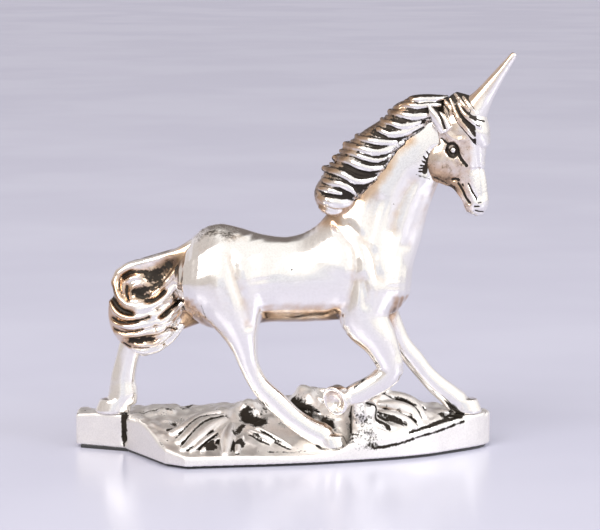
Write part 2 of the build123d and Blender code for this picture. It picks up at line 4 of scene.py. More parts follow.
import bmesh
import bpy
import numpy as np
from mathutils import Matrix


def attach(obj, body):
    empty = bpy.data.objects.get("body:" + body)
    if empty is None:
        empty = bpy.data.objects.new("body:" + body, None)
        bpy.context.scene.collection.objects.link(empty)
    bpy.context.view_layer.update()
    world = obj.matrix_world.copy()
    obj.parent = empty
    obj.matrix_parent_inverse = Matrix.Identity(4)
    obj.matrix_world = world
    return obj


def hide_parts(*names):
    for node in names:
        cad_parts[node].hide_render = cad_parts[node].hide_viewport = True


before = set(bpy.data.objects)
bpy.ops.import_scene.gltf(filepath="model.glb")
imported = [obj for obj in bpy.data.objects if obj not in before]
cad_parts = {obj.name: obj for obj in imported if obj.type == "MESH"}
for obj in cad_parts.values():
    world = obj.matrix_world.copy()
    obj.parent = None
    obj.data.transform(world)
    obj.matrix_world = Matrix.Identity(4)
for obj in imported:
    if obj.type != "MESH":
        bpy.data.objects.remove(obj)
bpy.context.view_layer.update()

import openvdb
from mathutils import Vector

# Stage: a wide pale floor in soft light from all round, with two broad lamps.
# The camera faces the animal's right side from a little above its back.
CAMERA_PLACE = Vector((0.0032, -0.4456, 0.0959))
CAMERA_TARGET = Vector((0.0032, 0.0, 0.0333))
CAMERA_LENS = 157.02
CAMERA_SENSOR = 36.0
FLOOR_HALF = 4.0
FLOOR_TINTS = [(0.52, 0.52, 0.63, 1), (0.57, 0.57, 0.68, 1)]
SKY_BRIGHT = (1.0, 0.985, 0.97, 1)
SKY_IN_FRONT = (0.80, 0.81, 0.87, 1)
SKY_LEFT = (0.60, 0.555, 0.53, 1)
SKY_BEHIND_LOW = (0.60, 0.58, 0.68, 1)
SKY_BEHIND_HIGH = (0.18, 0.155, 0.145, 1)
SKY_BEHIND_ASIDE = (0.72, 0.69, 0.72, 1)
SKY_STRENGTH = 1.10
# Lamps: place, size, power and tint
LAMPS = {
    "key": ((-0.35, -0.55, 0.60), 0.50, 5.0, (1.0, 0.98, 0.95)),
    "fill": ((0.60, -0.35, 0.40), 0.40, 2.5, (0.95, 0.96, 1.0)),
}

camera = bpy.data.objects.new("camera", bpy.data.cameras.new("camera"))
camera.data.lens = CAMERA_LENS
camera.data.sensor_width = CAMERA_SENSOR
camera.data.sensor_fit = "HORIZONTAL"
camera.data.clip_start = 0.01
camera.location = CAMERA_PLACE
camera.rotation_euler = (CAMERA_TARGET - CAMERA_PLACE).to_track_quat("-Z", "Y").to_euler()
bpy.context.collection.objects.link(camera)
bpy.context.scene.camera = camera
bpy.context.scene.view_settings.view_transform = "Standard"


def add_node(tree, kind, inputs, settings):
    """A new node with its settings, and with each input set to a value or wired to a socket."""
    node = tree.nodes.new(kind)
    for key, value in settings.items():
        setattr(node, key, value)
    for key, value in inputs.items():
        if isinstance(value, bpy.types.NodeSocket):
            tree.links.new(value, node.inputs[key])
        else:
            node.inputs[key].default_value = value
    return node


class Tree:
    """Nodes of one shader, added and wired by short calls."""

    def __init__(self, owner):
        owner.use_nodes = True
        self.tree = owner.node_tree
        self.tree.nodes.clear()

    def put(self, kind, inputs=None, **settings):
        return add_node(self.tree, "ShaderNode" + kind, inputs or {}, settings)

    def noise(self, place, scale, detail=3.0):
        return self.put("TexNoise", {"Vector": place, "Scale": scale, "Detail": detail}).outputs["Fac"]

    def math(self, operation, a, b=0.0):
        return self.put("Math", {0: a, 1: b}, operation=operation).outputs[0]

    def step(self, value, low, high, to_low=0.0, to_high=1.0):
        """A smooth step of a value that passes from low to high."""
        names = ("From Min", "From Max", "To Min", "To Max")
        inputs = dict(zip(names, (low, high, to_low, to_high)))
        return self.put("MapRange", {"Value": value, **inputs}, interpolation_type="SMOOTHSTEP").outputs[0]

    def mix(self, share, a, b):
        return self.put("Mix", {0: share, 6: a, 7: b}, data_type="RGBA").outputs[2]

    def finish(self, shader):
        self.put("OutputMaterial", {"Surface": shader.outputs[0]})


def paint_floor():
    material = bpy.data.materials.new("floor")
    tree = Tree(material)
    place = tree.put("TexCoord").outputs["Object"]
    cloud = tree.step(tree.noise(place, 9.0), 0.35, 0.65)
    colour = tree.mix(cloud, *FLOOR_TINTS)
    tree.finish(tree.put("BsdfPrincipled", {"Base Color": colour, "Roughness": 0.24}))
    return material


floor_mesh = bpy.data.meshes.new("floor")
floor_corners = [(x * FLOOR_HALF, y * FLOOR_HALF, 0) for x, y in ((-1, -1), (1, -1), (1, 1), (-1, 1))]
floor_mesh.from_pydata(floor_corners, [], [(0, 1, 2, 3)])
floor_mesh.materials.append(paint_floor())
floor = bpy.data.objects.new("floor", floor_mesh)
bpy.context.collection.objects.link(floor)

# The room is bright, dimmer and warmer to the left, and dark high up behind
sky = bpy.data.worlds.new("studio")
bpy.context.scene.world = sky
tree = Tree(sky)
aim = tree.put("SeparateXYZ", {"Vector": tree.put("TexCoord").outputs["Generated"]}).outputs
from_behind = tree.step(aim[1], 0.36, 0.58)
from_left = tree.step(aim[0], -0.46, -0.20, 1.0, 0.0)
high_up = tree.step(aim[2], 0.16, 0.34)
aside = tree.step(tree.math("ABSOLUTE", aim[0]), 0.22, 0.50)
in_front = tree.step(aim[1], -0.978, -0.955, 1.0, 0.0)
shade = tree.mix(high_up, SKY_BEHIND_LOW, SKY_BEHIND_HIGH)
shade = tree.mix(aside, shade, SKY_BEHIND_ASIDE)
glow = tree.mix(in_front, SKY_BRIGHT, SKY_IN_FRONT)
glow = tree.mix(from_left, glow, SKY_LEFT)
glow = tree.mix(from_behind, glow, shade)
light = tree.put("Background", {"Color": glow, "Strength": SKY_STRENGTH})
tree.put("OutputWorld", {"Surface": light.outputs[0]})

for name, (place, size, power, tint) in LAMPS.items():
    lamp = bpy.data.objects.new(name, bpy.data.lights.new(name, "AREA"))
    lamp.data.size = size
    lamp.data.energy = power
    lamp.data.color = tint
    lamp.location = place
    lamp.rotation_euler = (CAMERA_TARGET - lamp.location).to_track_quat("-Z", "Y").to_euler()
    bpy.context.collection.objects.link(lamp)

# Felt: a thin black pad cut to the base's outline a little small and glued under it.
# It keeps the metal off the shelf and shows as a dark line along the foot.
MM = 0.001
BASE_LENGTH = 73.0
BASE_WIDTH = 25.8
FELT_THICKNESS = 0.5
FELT_INSET = 0.8
# Heights in the felt, with how far its cut edge is drawn in there
FELT_LEVELS = [(0.0, 0.16), (0.10, 0.0), (0.40, 0.0), (FELT_THICKNESS, 0.12)]
BACK_EDGE = [(34.5, 12.5), (20.0, 13.4), (0.0, 13.0), (-18.0, 13.6), (-31.0, 13.2), (-36.0, 10.8)]
LEFT_FACETS = [(-36.2, 6.5), (-27.5, 3.0), (-19.8, -9.8), (-16.2, -12.2)]
FRONT_EDGE = [(8.3, -8.0), (28.5, 0.3), (36.6, 9.5)]


def evened(rows, count):
    """Rows of numbers, the first three a place, respaced evenly along a smooth curve through them."""
    rows = np.array(rows, float)
    steps = np.linalg.norm(np.diff(rows[:, :3], axis=0), axis=1)
    reach = np.concatenate([[0], np.cumsum(steps)])
    slopes = np.gradient(rows, reach, axis=0)
    places = np.linspace(0, reach[-1], count)
    index = np.clip(np.searchsorted(reach, places, side="right") - 1, 0, len(rows) - 2)
    span = (reach[index + 1] - reach[index])[:, None]
    u = (places - reach[index])[:, None] / span
    start = (1 + 2 * u) * (1 - u) ** 2 * rows[index] + span * u * (1 - u) ** 2 * slopes[index]
    return start + u * u * (3 - 2 * u) * rows[index + 1] + span * u * u * (u - 1) * slopes[index + 1]


def outline(inset):
    """Corners of the base's edge seen from above, drawn in by inset."""
    front = evened([(*place, 0) for place in LEFT_FACETS[-1:] + FRONT_EDGE + BACK_EDGE[:1]], 40)
    corners = np.array(BACK_EDGE + LEFT_FACETS[:-1] + [tuple(row[:2]) for row in front[:-1]])
    return corners * [1 - 2 * inset / BASE_LENGTH, 1 - 2 * inset / BASE_WIDTH]


def show(name, mesh):
    """Puts a finished mesh into the scene as the piece that stands for the CAD node of that name."""
    piece = bpy.data.objects.new(name + "_visual", mesh)
    bpy.context.collection.objects.link(piece)
    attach(piece, "root")
    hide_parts(name)


def paint_felt():
    material = bpy.data.materials.new("felt")
    tree = Tree(material)
    place = tree.put("TexCoord").outputs["Object"]
    fibre = tree.noise(place, 9000.0, 6.0)
    colour = tree.mix(fibre, (0.012, 0.012, 0.014, 1), (0.055, 0.053, 0.055, 1))
    bump = tree.put("Bump", {"Strength": 0.6, "Distance": 0.0001, "Height": fibre})
    inputs = {"Base Color": colour, "Roughness": 0.95, "Normal": bump.outputs[0], "Sheen Weight": 0.4}
    tree.finish(tree.put("BsdfPrincipled", inputs))
    return material


felt_points = [(x * MM, y * MM, height * MM) for height, inset in FELT_LEVELS
               for x, y in outline(FELT_INSET + inset)]
felt_count = len(felt_points) // len(FELT_LEVELS)
felt_faces = [tuple(range(felt_count))[::-1], tuple(range(len(felt_points) - felt_count, len(felt_points)))]
for level, k in product(range(len(FELT_LEVELS) - 1), range(felt_count)):
    low, after = level * felt_count + k, level * felt_count + (k + 1) % felt_count
    felt_faces.append((low, after, after + felt_count, low + felt_count))
felt_mesh = bpy.data.meshes.new("felt")
felt_mesh.from_pydata(felt_points, [], felt_faces)
felt_form = bmesh.new()
felt_form.from_mesh(felt_mesh)
bmesh.ops.triangulate(felt_form, faces=[face for face in felt_form.faces if len(face.verts) > 4])
bmesh.ops.recalc_face_normals(felt_form, faces=felt_form.faces)
felt_form.to_mesh(felt_mesh)
felt_form.free()
felt_mesh.materials.append(paint_felt())
show("base_felt", felt_mesh)

# Base: one white-metal casting of rocky ground, silver plated, its hollows left dark.
# It has a cut slab at the rear, leaf tufts, a fan of rock behind the raised hoof and a smooth lip.
FAR = 9.0
MARGIN = 4.0
TINY = 1e-6
LINE_STEPS, ROPE_STEPS, LIMB_STEPS = 14, 16, 36
BASE_CELL = 0.25
GROUND_HEIGHT = 10.6
# A slanting face is nearer than its height says, so the ground and the crags are eased
GROUND_EASE, CRAG_EASE = 0.8, 0.9
CRAG_FILLET = 1.6
SILVER = (0.95, 0.92, 0.89, 1)
# Tarnish colours, also used for painted shade and a painted reflection
TARNISH_AND_SHADE_TAN = (0.60, 0.40, 0.25, 1)
TARNISH_AND_SHADE_BROWN = (0.16, 0.10, 0.06, 1)
TARNISH_AND_SHADE_BLACK = (0.030, 0.023, 0.017, 1)
# Waves of the plating's patterns to the metre
BLOTCH_SCALE, FLECK_SCALE, GRAIN_SCALE, PIT_SCALE = 620.0, 2400.0, 3600.0, 520.0


def unit(way):
    return way / np.linalg.norm(way, axis=-1, keepdims=True)


def joined(a, b, blend):
    """The nearer of two surfaces, with a fillet where they meet."""
    if not blend:
        return np.minimum(a, b)
    near = np.maximum(blend - np.abs(a - b), 0) / blend
    return np.minimum(a, b) - near * near * blend / 4


def softened(field, passes):
    """The field with each cell drawn towards its neighbours."""
    for _ in range(passes):
        for axis in range(field.ndim):
            line = np.moveaxis(field, axis, 0)
            line[1:-1] = (line[:-2] + 2 * line[1:-1] + line[2:]) / 4
    return field


def line_distance(x, z, points, halves=None):
    """Distance in a plane from the places x, z to a line through points, or to its edge by half widths."""
    found = np.full(np.broadcast(x, z).shape, FAR)
    halves = np.zeros(len(points)) if halves is None else halves
    for (ax, az), (bx, bz), a, b in zip(points[:-1], points[1:], halves[:-1], halves[1:]):
        dx, dz = bx - ax, bz - az
        u = np.clip(((x - ax) * dx + (z - az) * dz) / (dx * dx + dz * dz + TINY), 0, 1)
        found = np.minimum(found, np.hypot(x - ax - dx * u, z - az - dz * u) - a - (b - a) * u)
    return found


def faded(gap, width, power=2):
    """1 at no distance, falling away smoothly past a width."""
    return np.exp(-((gap / width) ** power))


def flowing(points, count=LINE_STEPS):
    """A smooth line in a plane through a few points."""
    return evened([(x, z, 0) for x, z in points], count)[:, :2]


def between(a, b):
    """The line midway between two lines."""
    return (flowing(a, 10) + flowing(b, 10)) / 2


def neighbours(quads):
    """Both ends of every side of the faces."""
    return np.vstack([quads[:, (k, (k + 1) % 4)] for k in range(4)]).T


def largest(points, quads):
    """The biggest connected skin alone, without crumbs of metal."""
    a, b = neighbours(quads)
    owner = np.arange(len(points))
    while (owner[a] != owner[b]).any():
        least = np.minimum(owner[a], owner[b])
        np.minimum.at(owner, owner[a], least)
        np.minimum.at(owner, owner[b], least)
        owner = owner[owner]
    kept = owner == np.bincount(owner).argmax()
    places = np.cumsum(kept) - 1
    return points[kept], places[quads[kept[quads[:, 0]]]]


class Clay:
    """Metal worked on a block of small cells, each holding its distance to the surface, minus inside."""

    def __init__(self, low, high, cell):
        self.low, self.high, self.cell = np.array(low, float), np.array(high, float), cell
        counts = np.ceil((self.high - self.low) / cell).astype(int) + 1
        self.axes = [start + cell * np.arange(count) for start, count in zip(self.low, counts)]
        self.field = np.full(counts, FAR, np.float32)

    def empty(self):
        return Clay(self.low, self.high, self.cell)

    def copy(self):
        """The metal as it stands, kept to lay strands on."""
        twin = self.empty()
        twin.field[:] = self.field
        return twin

    def patch(self, low, high):
        cuts = tuple(slice(*np.searchsorted(axis, span)) for axis, span in zip(self.axes, zip(low, high)))
        x, y, z = (axis[cut] for axis, cut in zip(self.axes, cuts))
        return cuts, x[:, None, None], y[None, :, None], z[None, None, :]

    def whole(self):
        return self.patch(self.low - 1, self.high + 1)

    def limb(self, rows, cap, way=None):
        """A tapering form through elliptical sections: rows of x, y, z, depth and width."""
        rows = evened(rows, LIMB_STEPS)
        for a, b in zip(rows[:-1], rows[1:]):
            span = b[:3] - a[:3]
            aim = unit(span if way is None else np.array(way, float))
            bow = unit(np.cross(aim, (0, 1, 0)))
            wing = np.cross(bow, aim)
            reach = max(a[3], a[4], b[3], b[4]) / 2 + MARGIN
            low, high = np.minimum(a[:3], b[:3]) - reach, np.maximum(a[:3], b[:3]) + reach
            cuts, x, y, z = self.patch(low, high)
            x, y, z = x - a[0], y - a[1], z - a[2]
            u = np.clip((x * aim[0] + y * aim[1] + z * aim[2]) / span.dot(aim), 0, 1)
            x, y, z = x - span[0] * u, y - span[1] * u, z - span[2] * u
            depth, width = (a[3] + (b[3] - a[3]) * u) / 2, (a[4] + (b[4] - a[4]) * u) / 2
            end = cap * np.minimum(depth, width)
            across = [(np.abs(x * aim[0] + y * aim[1] + z * aim[2]), end)]
            across.append((x * bow[0] + y * bow[1] + z * bow[2], depth))
            across.append((x * wing[0] + y * wing[1] + z * wing[2], width))
            near = np.sqrt(sum((off / half) ** 2 for off, half in across)) + TINY
            steep = np.sqrt(sum((off / half**2) ** 2 for off, half in across)) + TINY
            self.field[cuts] = np.minimum(self.field[cuts], near * (near - 1) / steep)

    def rope(self, rows, blend):
        """A round strand of changing thickness: rows of x, y, z and radius."""
        rows = evened(rows, ROPE_STEPS)
        reach = rows[:, 3].max() + blend + MARGIN / 2
        cuts, x, y, z = self.patch(rows[:, :3].min(0) - reach, rows[:, :3].max(0) + reach)
        found = np.full(self.field[cuts].shape, FAR)
        for a, b in zip(rows[:-1], rows[1:]):
            span = b[:3] - a[:3]
            px, py, pz = x - a[0], y - a[1], z - a[2]
            u = np.clip((px * span[0] + py * span[1] + pz * span[2]) / (span.dot(span) + TINY), 0, 1)
            gap = np.sqrt((px - span[0] * u) ** 2 + (py - span[1] * u) ** 2 + (pz - span[2] * u) ** 2)
            found = np.minimum(found, gap - a[3] - (b[3] - a[3]) * u)
        self.field[cuts] = joined(self.field[cuts], found, blend)

    def ball(self, centre, radii, blend, carve=False):
        """An egg with three radii, added or cut away."""
        reach = max(radii) + blend + MARGIN / 2
        cuts, x, y, z = self.patch(np.array(centre) - reach, np.array(centre) + reach)
        across = list(zip((x - centre[0], y - centre[1], z - centre[2]), radii))
        near = np.sqrt(sum((off / half) ** 2 for off, half in across)) + TINY
        steep = np.sqrt(sum((off / half**2) ** 2 for off, half in across)) + TINY
        found = near * (near - 1) / steep
        if carve:
            self.field[cuts] = -joined(-self.field[cuts], found, blend)
        else:
            self.field[cuts] = joined(self.field[cuts], found, blend)

    def mark(self, points, depth, width, back=FAR * 9):
        """A groove, or with a minus depth a ridge, along a line seen from the side, as far as back."""
        points = flowing(points)
        low, high = points.min(0) - 3 * width, points.max(0) + 3 * width
        cuts, x, y, z = self.patch((low[0], self.low[1] - 1, low[1]), (high[0], back, high[1]))
        self.field[cuts] += depth * faded(line_distance(x, z, points), width)

    def sample(self, points, field=None):
        field = self.field if field is None else field
        at = np.clip((points - self.low) / self.cell, 0, np.array(field.shape) - 1.001)
        base = at.astype(int)
        part = at - base
        total = np.zeros(len(points))
        for corner in product((0, 1), repeat=3):
            weight = np.prod(np.where(corner, part, 1 - part), axis=1)
            total += weight * field[tuple((base + corner).T)]
        return total

    def surface(self):
        """The skin: its points, its faces and the outward way at each point."""
        grid = openvdb.FloatGrid(FAR)
        grid.copyFromArray(self.field)
        points, _, quads = grid.convertToPolygons(0.0, 0.0)
        points, quads = largest(self.low + np.array(points, float) * self.cell, np.array(quads, int))
        slopes = np.gradient(self.field, self.cell)
        for turn in range(3):
            ways = unit(np.stack([self.sample(points, slope) for slope in slopes], axis=1) + TINY)
            if turn < 2:
                points = points - ways * np.clip(self.sample(points), -self.cell, self.cell)[:, None]
        corners = points[quads]
        facing = np.cross(corners[:, 2] - corners[:, 0], corners[:, 3] - corners[:, 1])
        if (facing * ways[quads[:, 0]]).sum() < 0:
            quads = quads[:, ::-1]
        return points, quads, ways

    def shelter(self, points, ways, reach):
        """How far nearby metal closes a point in, from 0 in the open to 1 deep in a groove."""
        total = np.zeros(len(points))
        for step in (0.35, 0.7, 1.0):
            total += np.clip(1 - self.sample(points + ways * reach * step) / (reach * step), 0, 1.5)
        return total / 3

    def grime_and_shade(self, points, ways, reach, gain, start, limit):
        """Grime left in fine grooves and painted shade in broad hollows, of about this reach, from none at
        the start up to the limit.
        """
        return np.clip(self.shelter(points, ways, reach) * gain - start, 0, limit)


def inked(a, b, lines):
    """How black each place of a plane is made by lines with a half width and a blackness."""
    ink = np.zeros(len(a))
    for line, width, black in lines:
        ink = np.maximum(ink, black * faded(line_distance(a, b, flowing(line)), width))
    return ink


def mesh_of(name, points, faces, ways, values, material):
    """A Blender mesh in metres with its patina and painted-shade values, smooth by the outward ways."""
    mesh = bpy.data.meshes.new(name)
    mesh.from_pydata(points * MM, [], list(map(tuple, faces)), shade_flat=False)
    for key, amounts in values.items():
        mesh.attributes.new(key, "FLOAT", "POINT").data.foreach_set("value", amounts.astype(np.float32))
    mesh.normals_split_custom_set_from_vertices(ways)
    mesh.materials.append(material)
    return mesh


def paint_silver(name, silver, rough, speckle=0.55):
    """Antique silver plate: bright where it is rubbed, brown in hollows, black deep in grooves; its brown and
    black also carry painted shade and a painted reflection.
    """
    material = bpy.data.materials.new(name)
    tree = Tree(material)
    place = tree.put("TexCoord").outputs["Object"]
    patina_and_shade = tree.put("Attribute", attribute_name="patina_and_shade").outputs["Fac"]
    warm = tree.put("Attribute", attribute_name="warm").outputs["Fac"]
    blotch = tree.math("SUBTRACT", tree.noise(place, BLOTCH_SCALE, 5.0), 0.5)
    grain = tree.noise(place, GRAIN_SCALE, 4.0)
    fleck = tree.math("SUBTRACT", tree.noise(place, FLECK_SCALE), 0.5)
    broken = tree.math("ADD", blotch, tree.math("MULTIPLY", fleck, 0.9))
    dark = tree.math("ADD", patina_and_shade, tree.math("MULTIPLY", broken, speckle))
    dark = tree.step(dark, 0.34, 0.62)
    brown = tree.math("ADD", warm, tree.math("MULTIPLY", blotch, 0.45))
    tan = tree.step(brown, 0.10, 0.60, 0.0, 0.9)
    brown = tree.step(brown, 0.45, 1.0, 0.0, 0.9)
    pits = tree.put("TexVoronoi", {"Vector": place, "Scale": PIT_SCALE})
    pit = tree.step(pits.outputs["Distance"], 0.05, 0.11, 1.0, 0.0)
    chance = tree.put("SeparateColor", {"Color": pits.outputs["Color"]}).outputs[0]
    pit = tree.math("MULTIPLY", pit, tree.step(chance, 0.86, 0.88))
    dark = tree.math("MAXIMUM", dark, pit)
    colour = tree.mix(tree.step(grain, 0.35, 0.65), silver, [0.93 * part for part in silver[:3]] + [1])
    colour = tree.mix(tan, colour, TARNISH_AND_SHADE_TAN)
    colour = tree.mix(brown, colour, TARNISH_AND_SHADE_BROWN)
    colour = tree.mix(dark, colour, TARNISH_AND_SHADE_BLACK)
    polish = tree.step(blotch, -0.2, 0.2, rough, rough + 0.10)
    polish = tree.math("ADD", polish, tree.math("MULTIPLY", dark, 0.35))
    metal = tree.math("SUBTRACT", 1.0, tree.math("MULTIPLY", dark, 0.35))
    relief = tree.math("SUBTRACT", grain, tree.math("MULTIPLY", pit, 2.0))
    bump = tree.put("Bump", {"Strength": 0.12, "Distance": 0.00004, "Height": relief})
    inputs = {"Base Color": colour, "Roughness": polish, "Metallic": metal, "Normal": bump.outputs[0]}
    tree.finish(tree.put("BsdfPrincipled", inputs))
    return material


# Heights of the ground in shares of its greatest, front to back, for each place along the base
GROUND_ACROSS = [share * BASE_WIDTH for share in (-0.50, -0.32, -0.16, 0.00, 0.18, 0.36, 0.54)]
GROUND = {
    -38.0: (0.60, 0.60, 0.60, 0.60, 0.60, 0.60, 0.57),
    -29.9: (0.58, 0.58, 0.58, 0.59, 0.60, 0.60, 0.57),
    -22.6: (0.28, 0.38, 0.53, 0.58, 0.60, 0.62, 0.57),
    -15.3: (0.19, 0.26, 0.40, 0.53, 0.62, 0.64, 0.57),
    -7.3: (0.17, 0.23, 0.42, 0.60, 0.70, 0.70, 0.58),
    0.0: (0.15, 0.19, 0.34, 0.57, 0.77, 0.81, 0.62),
    7.3: (0.15, 0.17, 0.28, 0.72, 0.96, 0.94, 0.66),
    13.9: (0.15, 0.22, 0.52, 0.81, 1.00, 0.94, 0.66),
    20.4: (0.15, 0.22, 0.42, 0.64, 0.89, 0.87, 0.62),
    27.0: (0.28, 0.32, 0.40, 0.53, 0.66, 0.70, 0.57),
    32.9: (0.51, 0.53, 0.57, 0.58, 0.59, 0.59, 0.55),
    38.0: (0.51, 0.53, 0.55, 0.57, 0.58, 0.58, 0.53),
}
# Crags: middle, half length, half width, height, top's share of the foot, turn, rounding
CRAGS = [
    (-21.2, 7.0, 6.6, 5.7, 7.3, 0.60, 12.0, 2.4),
    (-6.2, 4.4, 5.8, 6.5, 9.3, 0.36, -20.0, 2.4),
    (4.4, 4.9, 6.2, 6.2, 11.2, 0.42, 15.0, 2.4),
    (14.2, -2.8, 4.4, 3.6, 10.0, 0.62, 5.0, 1.8),
    (17.5, 4.9, 6.2, 6.2, 11.1, 0.40, -10.0, 2.4),
]
CRAG_CORNERS = np.array([(1.0, 0.05), (0.52, 0.88), (-0.38, 1.0), (-0.96, 0.42), (-0.88, -0.5),
                         (-0.1, -1.0), (0.74, -0.7)])
HOOF_LENGTH = 5.6
HOOF_WIDTH = 5.0
HOOF_HEIGHT = 2.3
PRINT_MARGIN = 0.4
# Soles that stand on the ground: x, y, z and length
SOLES = {
    "right_hind_leg": (8.98, -4.2, 2.0, HOOF_LENGTH),
    "left_hind_leg": (-29.8, 5.6, 6.4, 6.4),
    "left_foreleg": (32.6, 6.2, 6.3, HOOF_LENGTH),
}
# Leaves behind the near hind hoof and a fan of rock below the raised one, lines seen from above
STREAK_RADIUS = 1.25
STREAK_NEIGHBOUR = 5.0
STREAKS = [
    [(-18.9, -5.0), (-16.4, -1.7), (-13.7, 1.8), (-11.0, 3.6)],
    [(-17.6, -7.2), (-15.8, -4.0), (-13.3, -0.4), (-10.2, 1.7)],
    [(-16.8, -9.6), (-14.6, -5.5), (-12.3, -1.8), (-9.9, 0.4)],
    [(-9.6, -10.3), (-9.3, -5.2), (-8.7, -1.4)],
    [(17.5, 4.5), (22.5, 3.9), (24.8, 1.0)],
    [(17.0, 1.6), (20.0, 2.0), (22.6, 1.4), (23.8, -0.5)],
    [(14.7, -1.6), (18.6, -0.8), (21.8, -1.3), (23.1, -2.3)],
    [(12.5, -2.3), (16.0, -2.9), (19.0, -3.2)],
    [(12.1, -3.0), (14.9, -4.5), (17.5, -4.4)],
]
# Bead of metal over the foot of the raised hoof's pin: places and radii
PIN_BEAD = [(13.3, -4.7, 8.4, 1.3), (13.3, -4.7, 9.6, 1.1), (13.3, -4.7, 10.7, 0.85)]
# Blades of grass seen from above
BLADE_RADIUS, BLADE_LIFT = 0.55, 0.25
BLADES = [
    [(-15.4, -9.9), (-13.4, -6.6), (-11.2, -3.6)],
    [(-13.6, -9.6), (-12.2, -7.2), (-10.6, -5.0)],
    [(-7.6, -9.8), (-7.4, -7.2), (-6.6, -4.6)],
    [(-5.5, -3.1), (-3.6, -4.2), (-1.2, -5.2)],
    [(-4.0, -2.3), (-1.2, -4.2), (1.5, -6.3)],
    [(10.6, -4.0), (12.6, -5.6), (14.6, -5.9)],
    [(18.6, 6.6), (22.0, 6.2), (25.0, 3.6)],
    [(0.6, 1.2), (3.0, 0.4), (5.4, -1.4)],
    [(1.2, 2.8), (3.8, 2.0), (6.2, 0.4)],
    [(2.2, 4.6), (5.0, 4.0), (7.4, 2.4)],
    [(3.4, 6.4), (6.4, 6.0), (9.0, 4.6)],
]
# Holes between the rocks: middle and radius
HOLES = [((-5.2, 0.2, 7.4), 1.9), ((-27.9, 2.6, 2.4), 0.9), ((29.6, 3.6, 6.6), 1.3), ((5.6, -0.6, 6.2), 1.5)]
# Cuts along the front seen from the side: the lip, the layers above it and the slab's notch
FRONT_CUT_BACK = 9.5
FRONT_CUTS = [
    ([(16.0, 2.4), (20.3, 2.9), (24.0, 3.8), (28.0, 4.5), (31.8, 5.4)], 0.30, 0.35),
    ([(22.1, 4.6), (26.6, 5.5), (31.8, 6.3)], 0.22, 0.30),
    ([(-27.6, 1.0), (-27.5, 3.6), (-27.2, 6.4)], 0.45, 0.35),
]
# Lumps of the rock: how often they are smoothed and how high they are
LUMP_SEED = 7
LUMPS = [(70, 0.34), (16, 0.16), (5, 0.05)]
# Black left in the ground: lines seen from above, half width and how black
GROUND_INK = [
    ([(-12.6, -8.3), (-11.6, -7.5)], 0.9, 1.0),
    ([(-7.5, -7.2), (-6.7, -6.6)], 0.7, 0.9),
    ([(-8.2, -4.4), (-7.4, -3.0), (-6.6, -1.6)], 0.6, 0.7),
    ([(-5.8, 1.0), (-4.8, 0.0), (-4.2, -0.8)], 1.7, 1.1),
    ([(-5.5, -3.9), (-2.1, -6.0)], 0.35, 0.8),
    ([(-4.0, -3.1), (1.5, -7.1)], 0.35, 0.8),
    ([(-2.0, -8.2), (1.0, -8.0), (4.0, -7.4)], 0.6, 0.55),
    ([(2.0, 3.2), (3.0, 1.6), (5.3, -0.3), (8.2, -1.9)], 1.3, 0.9),
    ([(11.5, -6.2), (13.6, -5.8), (16.0, -5.4)], 1.0, 0.48),
    ([(10.6, -2.4), (13.4, -3.8), (15.6, -3.8)], 0.5, 0.7),
    ([(14.2, -0.4), (18.4, 0.6), (22.4, 0.0)], 0.4, 0.8),
    ([(12.6, -3.2), (15.5, -3.7), (18.6, -3.8)], 0.35, 0.8),
    ([(15.4, -2.4), (18.8, -2.0), (21.6, -2.3)], 0.30, 0.7),
    ([(17.2, 3.0), (20.2, 3.2), (23.4, 2.2)], 0.35, 0.7),
    ([(28.4, 3.2), (30.6, 3.6)], 1.1, 1.2),
    ([(-27.8, 1.6), (-27.4, 3.4)], 0.7, 1.1),
    ([(-26.4, 5.0), (-22.0, 4.4), (-18.4, 5.0)], 0.35, 0.6),
    ([(-19.6, -4.4), (-16.9, -1.0), (-14.2, 2.4)], 0.3, 0.7),
]


def edge_distance(x, y, corners):
    """Distance from the outline seen from above, minus inside it."""
    closed = np.vstack([corners, corners[:1]])
    found = line_distance(x, y, closed)
    inside = np.zeros(found.shape, bool)
    for (ax, ay), (bx, by) in zip(closed[:-1], closed[1:]):
        crosses = (ay > y) != (by > y)
        inside ^= crosses & (x < ax + (bx - ax) * (y - ay) / (by - ay + TINY))
    return np.where(inside, -found, found)


def crag_distance(x, y, z, middle_x, middle_y, length, width, height, top, turn, rounding):
    """A blunt seven-sided crag that tapers to a flat top."""
    c, s = math.cos(math.radians(turn)), math.sin(math.radians(turn))
    corners = CRAG_CORNERS * (length, width) @ np.array([(c, s), (-s, c)])
    taper = 1 + (top - 1) * np.clip(z / height, 0, 1)
    found = z - height
    for (ax, ay), (bx, by) in zip(corners, np.roll(corners, -1, axis=0)):
        out = unit(np.array([by - ay, ax - bx]))
        side = (x - middle_x) * out[0] + (y - middle_y) * out[1] - taper * out.dot((ax, ay))
        found = -joined(-found, -side, rounding)
    return found


base = Clay((-38.5, -14.5, -0.5), (39.0, 15.5, 14.0), BASE_CELL)
_, x, y, z = base.whole()
edge = edge_distance(x[:, :, 0], y[:, :, 0], outline(0))
rows = np.array([np.interp(base.axes[1], GROUND_ACROSS, row) for row in GROUND.values()])
ground = np.array([np.interp(base.axes[0], list(GROUND), column) for column in rows.T]).T * GROUND_HEIGHT
ground = softened(ground, 24)
base.field[:] = (z - ground[:, :, None]) * GROUND_EASE
for crag in CRAGS:
    base.field[:] = joined(base.field, crag_distance(x, y, z, *crag) * CRAG_EASE, CRAG_FILLET)
chance = np.random.default_rng(LUMP_SEED)
for passes, amount in LUMPS:
    lumps = softened(chance.standard_normal(base.field.shape).astype(np.float32), passes)
    base.field += lumps / lumps.std() * amount * np.clip(z / 3 - 0.7, 0, 1)


